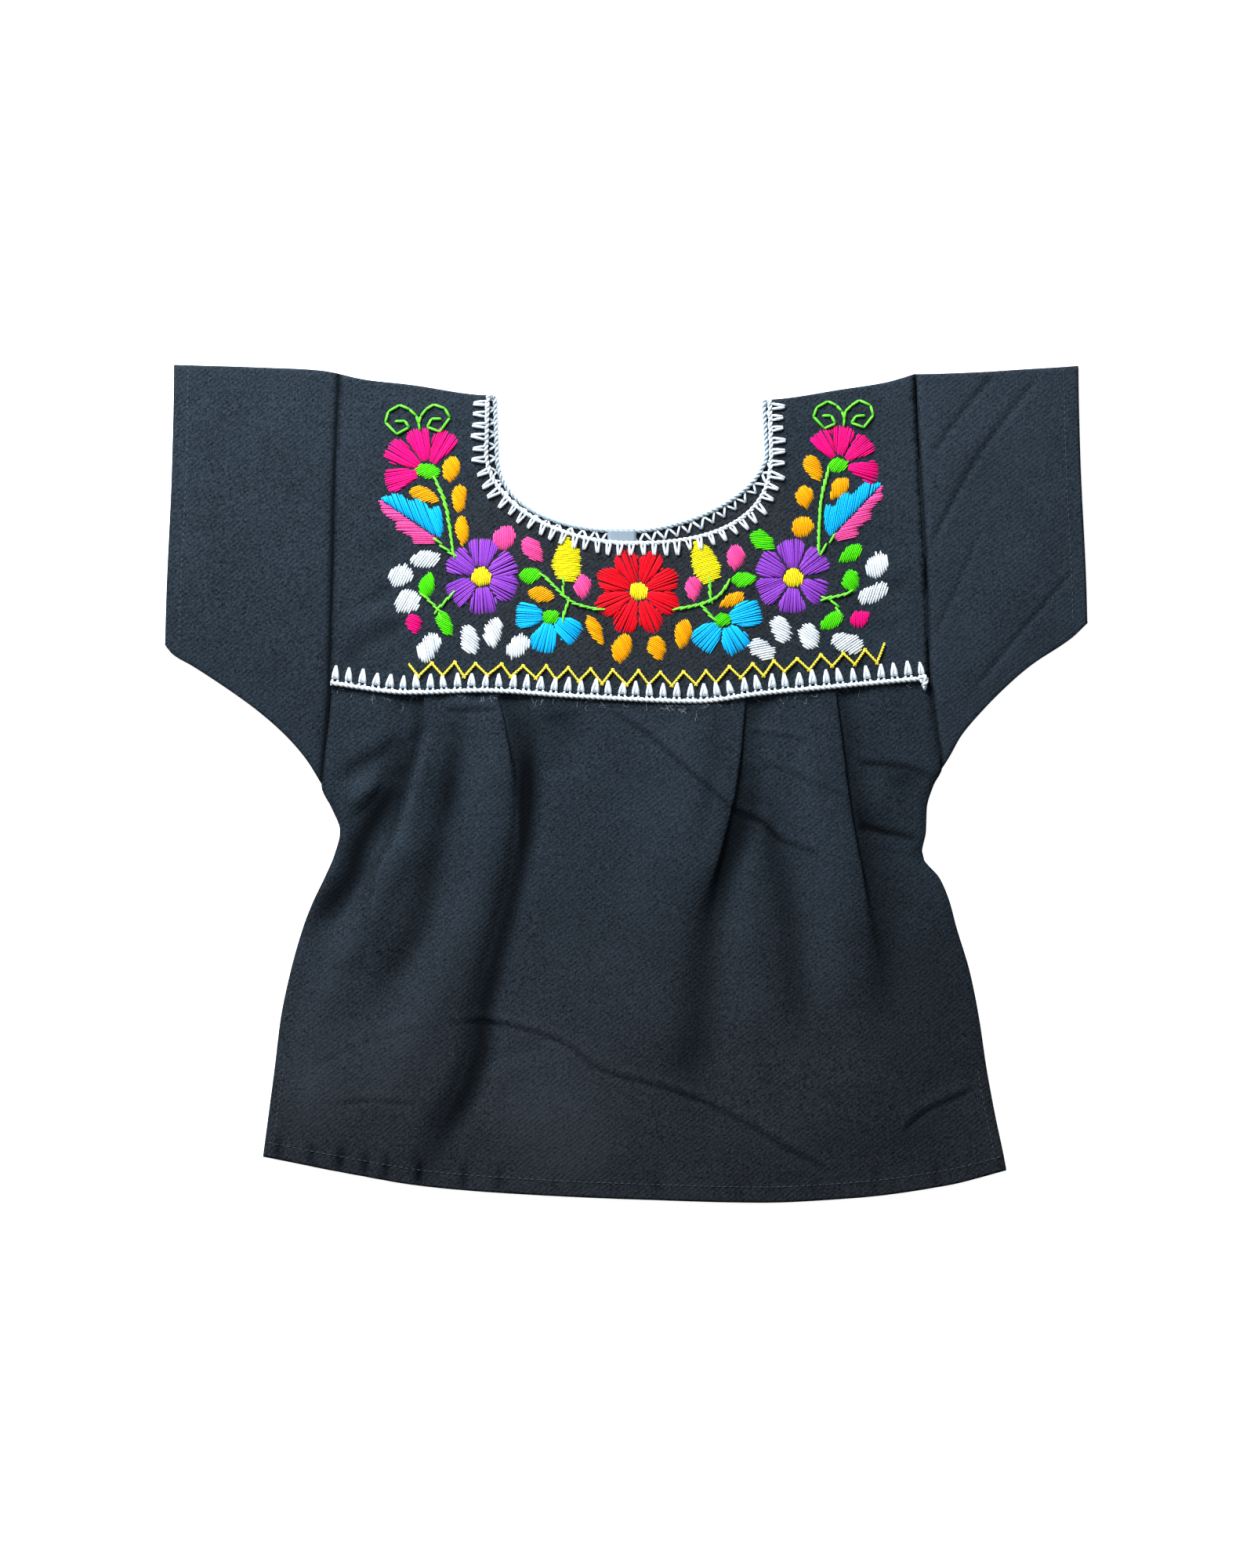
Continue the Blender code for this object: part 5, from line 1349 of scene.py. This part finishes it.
def coated(made, colour, height=None, strength=0.0, relief=0.0, gloss=0.5):
    """Gives a material its colour, its gloss and a fine relief in millimetres."""
    tree = made.node_tree
    shader = tree.nodes["Principled BSDF"]
    tree.links.new(colour, shader.inputs["Base Color"])
    if height is not None:
        bump = add_node(tree, "ShaderNodeBump", {
            "Strength": strength, "Distance": relief * MM, "Height": height,
        })
        tree.links.new(bump.outputs[0], shader.inputs["Normal"])
    shader.inputs["Specular IOR Level"].default_value = gloss
    return made


def noise(tree, place, size, detail=2.0, roughness=0.5):
    """Mottle with spots about this many millimetres across."""
    return add_node(tree, "ShaderNodeTexNoise", {
        "Vector": place, "Scale": 1 / (size * MM), "Detail": detail, "Roughness": roughness,
    }).outputs["Fac"]


def stripes(tree, place, pitch, distortion, detail=2.0, detail_scale=1.0):
    """Stripes this many millimetres apart."""
    return add_node(tree, "ShaderNodeTexWave", {
        "Vector": place, "Scale": 2 * np.pi / 20 / (pitch * MM), "Distortion": distortion, "Detail": detail,
        "Detail Scale": detail_scale,
    }).outputs["Fac"]


def ranged(tree, value, from_min=0.0, from_max=1.0, to_min=0.0, to_max=1.0):
    """A value moved from one range to another."""
    return add_node(tree, "ShaderNodeMapRange", {
        "Value": value, "From Min": from_min, "From Max": from_max, "To Min": to_min, "To Max": to_max,
    }).outputs[0]


def average(tree, share, a, b):
    mixed = add_node(tree, "ShaderNodeMix", {"Factor": share, "A": a, "B": b}, data_type="FLOAT")
    return mixed.outputs["Result"]


def dyed(tree, share, first, second):
    """A mix of two colours, each a hex colour or an output."""
    first, second = (linear(end) if isinstance(end, str) else end for end in (first, second))
    return add_node(tree, "ShaderNodeMix", {"Factor": share, "A_Color": first, "B_Color": second},
                    data_type="RGBA").outputs[2]


def attribute(tree, name):
    return add_node(tree, "ShaderNodeAttribute", attribute_name=name).outputs["Fac"]


def twill_material():
    """Black cotton and polyester twill: matt and faintly blue, with painted shading, darker in troughs,
    creases and beside pleats and lighter on ridges.

    Its diagonal ribs are about 0.4 mm apart; they are drawn 1.9 mm apart so that they show. The black
    is greyer among the flowers and towards the hem, where less of the sky lies on it.
    """
    made, tree, place = material("black cotton polyester twill", 0.92)
    diagonal = add_node(tree, "ShaderNodeMapping", {"Vector": place, "Rotation": (0, 0, np.radians(52))})
    ribs = stripes(tree, diagonal.outputs[0], 1.9, 0.8, 1.0, 2.0)
    fine = noise(tree, place, 0.8, 1.0, 0.6)
    tone = ranged(tree, average(tree, 0.6, noise(tree, place, 1.3, 1.0, 0.6), fine), 0.29, 0.71)
    worn = ranged(tree, noise(tree, place, 26), 0.3, 0.7, -0.05, 0.05)
    ribbed = maths(tree, "ADD", maths(tree, "ADD", tone, worn), ranged(tree, ribs, to_min=-0.07, to_max=0.07))
    # Painted shading from each point of the cloth: below 0 painted shade, above 0 painted light
    nap = attribute(tree, "nap")
    # Random tone and ribs, plus painted light where the painted shading is above 0
    shade = maths(tree, "ADD", ranged(tree, nap, to_max=0.5), ribbed, use_clamp=True)

    # Painted sky tint: bluer black where more sky light lies on it, greyer among the flowers and towards the
    # hem
    among_flowers = add_node(tree, "ShaderNodeMapping", {
        "Vector": place, "Location": (-0.06, -1.7, 0), "Scale": (1 / (100 * MM), 1 / (62 * MM), 0),
    })
    away = add_node(tree, "ShaderNodeVectorMath", {0: among_flowers.outputs[0]}, operation="LENGTH")
    near = ranged(tree, away.outputs["Value"], 1.15, 0.7, to_max=0.8)
    up = add_node(tree, "ShaderNodeSeparateXYZ", {"Vector": place}).outputs["Y"]
    low = ranged(tree, up, -20 * MM, -190 * MM, to_max=0.7)
    painted_sky_tint = dyed(tree, maths(tree, "MAXIMUM", near, low), "#303a44", "#37393e")
    colour = dyed(tree, shade, "#090d10", painted_sky_tint)
    # Painted shade: darker in troughs, creases and beside pleats, where the painted shading is below 0
    colour_with_painted_shade = dyed(tree, ranged(tree, nap, 0.0, -1.0, to_max=0.95), colour, "#04070a")
    return coated(made, colour_with_painted_shade, maths(tree, "ADD", ribs, fine), 0.5, 0.12, 0.06)


def yarn_material(yarn):
    """Acrylic embroidery yarn: bright, softly lustrous, each thread a little lighter or darker.

    Its fibres are far finer than a millimetre; they are drawn as a mottle about 0.8 mm across.
    """
    made, tree, place = material(yarn.name, yarn.roughness, yarn.sheen, 0.4)
    fibres = noise(tree, place, 0.8, 3.0, 0.6)
    colour = dyed(tree, average(tree, 0.5, attribute(tree, "shade"), fibres), yarn.light, yarn.dark)
    return coated(made, colour, fibres, 0.3, 0.1, yarn.gloss)


def ribbon_material():
    """Woven satin label: pale blue-grey, smooth, with a faint cross weave drawn 0.5 mm apart."""
    made, tree, place = material("woven satin ribbon", 0.42)
    weave = stripes(tree, place, 0.5, 0.6)
    return coated(made, dyed(tree, weave, "#768490", "#87949e"), weave, 0.2, 0.05)


def floor_material():
    """Matt white paper with a barely visible grain. A glow of its own keeps it as white as the photograph."""
    made, tree, place = material("matt white paper", 0.9)
    shader = tree.nodes["Principled BSDF"]
    shader.inputs["Emission Color"].default_value = (1.0, 1.0, 1.0, 1.0)
    shader.inputs["Emission Strength"].default_value = FLOOR_GLOW
    return coated(made, dyed(tree, noise(tree, place, 3.0), "#f6f6f6", "#fdfdfd"))


def seam_cord_line():
    """The couched cord's middle line along the yoke seam."""
    xs = np.arange(*SEAM_CORD_REACH, CORD_STEP)
    ys = yoke_seam(xs) + CORD_STAND_OFF
    z = FRONT_MID + CLOTH / 2 + SEAM_LOFT * mix(EDGE_LOFT, 1.0, ease(0, SIDE_FADE, side_distance(xs, ys)))
    return np.column_stack([xs, ys, z + WHITE_PLY.radius + WHITE_PLY.offset - CORD_SUNK])


def neck_cord_line():
    """The edging cord: down round the front neck, over a shoulder, round the back and over the other."""
    heights = (FRONT_MID + YOKE_LOFT + 0.2, WHITE_PLY.radius + WHITE_PLY.offset + 0.05)
    front, back = (resampled(neckline(neck, 0), CORD_STEP) for neck in (FRONT_NECK, BACK_NECK))
    front, back = (np.column_stack([line, np.full(len(line), z)]) for line, z in zip((front, back), heights))

    def over(start, end):
        low, high = (start, end) if start[2] < end[2] else (end, start)
        angles = np.linspace(-np.pi / 2, np.pi / 2, BEND_POINTS)[1:-1]
        top = max(start[1], end[1]) + 1.0
        reach = shoulder_line(start[0]) + 0.5 - top
        points = mix(low, high, (np.sin(angles)[:, None] + 1) / 2)
        points[:, 1] = top + reach * np.cos(angles)
        return points if start is low else points[::-1]

    return np.vstack([front, over(front[-1], back[-1]), back[::-1], over(back[0], front[0]), front[:2]])


def embroider(needle):
    """Every flower, leaf, bud and wing, filled with satin stitch."""
    for flower in FLOWERS:
        length = flower.reach - flower.inner
        sector = np.radians(np.diff(sorted(flower.angles)).min()) / 2
        for angle in flower.angles:
            turn = np.radians(angle)
            x, y = flower.x + flower.inner * np.cos(turn), flower.y + flower.inner * np.sin(turn)
            shape = POINTED_PETAL if flower.colour == "red" else PETAL
            reach = length * needle.random.uniform(0.94, 1.06)
            petal = outline_of(shape, reach, flower.width / 2, needle.random)
            room = (flower.inner + petal[:, 0]) * np.tan(sector) - PETAL_GAP / 2
            petal[:, 1] = np.clip(petal[:, 1], -room, room)
            angle = angle + needle.random.uniform(-2, 2)
            needle.fill(flower.colour, petal, x, y, angle, focus=PETAL_FOCUS, spacing=PETAL_SPACING)
    for x, y, radius in FLOWER_CENTRES:
        corners = np.radians(np.arange(0, 360, 60) + 18)
        disc = np.column_stack([np.cos(corners), np.sin(corners)]) * radius
        needle.fill("centre", disc, x, y, 0, slant=82, ragged=0.6)
    for colour, leaves in LEAVES.items():
        shape = LEAF_SHAPES.get(colour, LEAF)
        spacing = WHITE_SPACING if colour == "white" else THREAD_SPACING
        how = {"slant": LEAF_SLANTS[colour], "ragged": 1.4 if colour in ("white", "yellow") else 0.6,
               "spacing": spacing, "thread": THREAD_SHARE * spacing}
        for leaf in rows_of(LeafRow, *leaves):
            local = outline_of(shape, leaf.length, leaf.width / 2, needle.random) - (leaf.length / 2, 0)
            needle.fill(colour, local, leaf.x, leaf.y, leaf.angle, **how)
    for wing in WINGS:
        for width, colour in ((wing.upper, "blue"), (wing.lower, "pink")):
            local = half_outline(WING, wing.length, width)
            needle.fill(colour, local, wing.x, wing.y, wing.angle, slant=np.sign(width) * 34, ragged=0.7)


def curl(needle):
    """Curled tendrils, each corner a little off its place as a hand leaves it, and the forks below them."""
    random = np.random.default_rng(33)
    drawn = []
    for row in TENDRILS:
        corners = np.array(TENDRIL_CURL) * (row.side, 1) + random.uniform(-0.06, 0.06, (len(TENDRIL_CURL), 2))
        drawn.append((turned(corners * row.size, row.x, row.y, row.tilt), TENDRIL_RADIUS))
    for line, radius in [*drawn, *((fork, FORK_RADIUS) for fork in TENDRIL_FORKS)]:
        for a, b in zip(line, line[1:]):
            needle.stitch("stem", a, b, radius)


def zigzag_lines(cloth):
    """Straight gold stitches up and down, crossing a little at each point."""
    random = np.random.default_rng(31)
    xs = np.linspace(*ZIGZAG_REACH, ZIGZAG_STITCHES + 1) + random.uniform(-0.8, 0.8, ZIGZAG_STITCHES + 1)
    sign = np.where(np.arange(len(xs)) % 2 == 0, 1, -1)
    rise = mix(*ZIGZAG_RISE, ease(0.4, 1.0, np.linspace(0, 1, len(xs))))
    ys = yoke_seam(xs) + rise + sign * (ZIGZAG_HALF + random.uniform(-0.7, 0.6, len(xs)))
    corners = np.vstack([np.column_stack([xs, ys]), ZIGZAG_LAST])
    lines = []
    for a, b in zip(corners, corners[1:]):
        heading = (b - a) / np.hypot(*(b - a))
        t = np.linspace(0, 1, 7)[:, None]
        flat = mix(a - heading * ZIGZAG_CROSS, b + heading * ZIGZAG_CROSS, t)
        bow = 0.45 * (1 - np.abs(2 * t[:, 0] - 1) ** 4)
        lines.append(cloth.lifted(flat, 0.25) + np.column_stack([np.zeros((7, 2)), bow]))
    return lines


def dash_lines(cloth):
    """Machine stitching round the cuffs, along the hem and up both side vents."""
    lines = []
    for side, low in zip((-1, 1), CUFF_STITCH_LOWS):
        ys = np.linspace(low, CUFF_STITCH_TOP, 30)
        cuff = cuff_line((ys - low) / (CUFF_STITCH_TOP - low))
        lines.append(np.column_stack([side * (cuff - CUFF_STITCH_INSET), ys]))
    xs = np.linspace(left_side(HEM_CORNERS[0]) + 4, right_side(HEM_CORNERS[1]) - 4, 60)
    lines.append(np.column_stack([xs, hem_line(xs) + HEM_STITCH_RISE]))
    for side_x, inward, start in zip((left_side, right_side), (1, -1), VENT_STITCH_LOWS):
        ys = np.linspace(start, start + VENT_LENGTH, 12)
        lines.append(np.column_stack([side_x(ys) + inward * VENT_STITCH_INSET, ys]))
    return [cloth.lifted(line, 0.02) for line in lines]


def lint_lines(cloth):
    """Stray white fibres caught below the seam cord."""
    random = np.random.default_rng(41)
    lines = []
    for _ in range(LINT_COUNT):
        x = random.uniform(*LINT_REACH)
        points = [(x, yoke_seam(x) - abs(random.normal(0, LINT_SPREAD)) - 0.2)]
        heading = random.uniform(0, 2 * np.pi)
        for _ in range(5):
            heading += random.normal(0, 0.55)
            step = random.uniform(0.5, 1.1)
            points.append((points[-1][0] + step * np.cos(heading), points[-1][1] + step * np.sin(heading)))
        lines.append(cloth.lifted(smooth_line(points, 2), 0.12))
    return lines


def label(finish):
    """A bare ribbon label sewn inside the back neck by its upper edge."""
    across = LABEL_X + LABEL_WIDTH * np.linspace(-0.5, 0.5, LABEL_POINTS)
    share, x = np.meshgrid(np.linspace(0, 1, LABEL_POINTS), across, indexing="ij")
    z = BACK_MID + CLOTH / 2 + LABEL_LIFT + LABEL_BOW * np.sin(np.pi * share * 0.9) + 0.05 * np.cos(x)
    points = np.stack([x, LABEL_TOP_Y - LABEL_LENGTH * (1 - share), z], axis=-1).reshape(-1, 3)
    return shell("label_ribbon", points, grid_faces(LABEL_POINTS, LABEL_POINTS), finish, LABEL_THICKNESS)


def white_stitches(trees, cloth, yarn):
    """Cords, teeth and inner stitches of white yarn, by name."""
    seam = seam_cord_line()
    tail = smooth_line(seam[-1] + np.array(CORD_TAIL), 3)
    around = neck_cord_line()
    # Painted shade: the cord is drawn darker where it runs low round the back neck
    shade = BACK_CORD_PAINTED_SHADE * (1 - ease(WHITE_PLY.radius + WHITE_PLY.offset, FRONT_MID, around[:, 2]))
    foot = cloth.lifted(seam[1:-1, :2] + (0, 1.3), 0.0)
    front = cloth.lifted(resampled(neckline(FRONT_NECK, 0.9), 1.5)[::-1], 0.0)
    front[:, 2] = np.clip(front[:, 2], FRONT_MID + 0.5, FRONT_MID + 1.6)
    back = resampled(neckline(BACK_NECK, 1.0), 1.5)[::-1]
    back = np.column_stack([back, np.full(len(back), BACK_MID + CLOTH / 2)])
    pieces = (
        twisted("seam_cord", [seam, tail], WHITE_PLY, trees, yarn),
        twisted("neck_cord", [around], WHITE_PLY, trees, yarn, shade=[shade]),
        stitched("seam_teeth", [foot], tooth, trees, yarn),
        stitched("neck_teeth", [front], loop, trees, yarn, mix(0.88, 0.94, ease(118, 150, front[:, 1]))),
        stitched("back_neck_stitches", [back], slant, trees, yarn),
    )
    return {piece.name: piece for piece in pieces}


def build():
    """Makes every piece and says what each rides on and replaces."""
    twill = twill_material()
    yarns = {use: yarn_material(yarn) for use, yarn in YARNS.items()}
    skirt = front_skirt(twill)
    back = back_skirt(twill)
    top = yoke(twill)
    left = sleeve("sleeve_left_cloth", -1, LEFT_SLEEVE, twill)
    right = sleeve("sleeve_right_cloth", 1, RIGHT_SLEEVE, twill)
    ribbon = label(ribbon_material())

    trees = {"yarn": yarn_tree(), "twist": twist_tree(), "stitches": stitch_tree()}
    yoke_surface = Surfaces([top])
    all_surfaces = Surfaces([top, skirt, left, right])
    white = white_stitches(trees, yoke_surface, yarns["cord"])

    needle = Needlework(yoke_surface)
    embroider(needle)
    curl(needle)
    satins = [needle.piece(f"satin_{colour}", colour, trees["yarn"], yarns[colour])
              for colour in needle.lines if colour != "stem"]
    satins.append(needle.piece("tendril_stitches", "stem", trees["yarn"], yarns["stem"], sides=8))
    stems = [yoke_surface.lifted(smooth_line(points, 4), 0.1) for points in STEMS]
    satins.append(stitched("stem_stitches", stems, stem, trees, yarns["stem"]))
    satins.append(twisted("gold_zigzag", zigzag_lines(yoke_surface), GOLD_PLY, trees, yarns["gold"]))
    sewing = stitched("machine_stitching", dash_lines(all_surfaces), dash, trees, yarns["grey"])
    lint = lint_lines(all_surfaces)
    thin = [np.full(len(line), LINT_RADIUS * MM) for line in lint]
    shades = [np.zeros(len(line)) for line in lint]
    fluff = piece_from_tree("white_lint", guides("lint", lint, thickness=thin, shade=shades), trees["yarn"],
                            {"Sides": 4, "Material": yarns["cord"]})

    cloths = {"yoke": top, "front_skirt": skirt, "back_skirt": back, "sleeve_left": left,
              "sleeve_right": right}
    for node, piece in cloths.items():
        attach(piece, "root")
        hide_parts(node)
    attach(ribbon, "root")
    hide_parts("neck_label")
    for piece in white.values():
        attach(piece, "root")
    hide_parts("yoke_edging")
    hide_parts("neck_edging")
    for piece in [*satins, sewing, fluff]:
        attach(piece, "root")


def set_stage():
    """Pale floor, soft studio light and the camera straight above."""
    mesh = bpy.data.meshes.new("floor")
    corners = np.array([(-1, -1, 0), (1, -1, 0), (1, 1, 0), (-1, 1, 0)]) * FLOOR_HALF * MM
    mesh.from_pydata(corners.tolist(), [], [(0, 1, 2, 3)])
    mesh.materials.append(floor_material())
    link("floor", mesh)

    world = bpy.data.worlds.new("studio")
    world.use_nodes = True
    background = world.node_tree.nodes["Background"]
    background.inputs["Color"].default_value = SKY_COLOUR
    background.inputs["Strength"].default_value = SKY_STRENGTH
    bpy.context.scene.world = world

    for row in LAMPS:
        lamp = bpy.data.lights.new(row.name, "AREA")
        lamp.size = row.size
        lamp.energy = row.power
        lamp.color = row.tint
        made = link(row.name, lamp)
        made.location = row.place
        made.rotation_euler = (-Vector(row.place)).to_track_quat("-Z", "Y").to_euler()

    camera = bpy.data.cameras.new("camera")
    camera.sensor_fit = "VERTICAL"
    camera.sensor_height = SENSOR
    camera.lens = SENSOR * CAMERA_HEIGHT / FRAME_HEIGHT
    made = link("camera", camera)
    made.location = Vector((*FRAME_MIDDLE, CAMERA_HEIGHT)) * MM
    bpy.context.scene.camera = made
    bpy.context.scene.view_settings.view_transform = "Standard"


build()
set_stage()
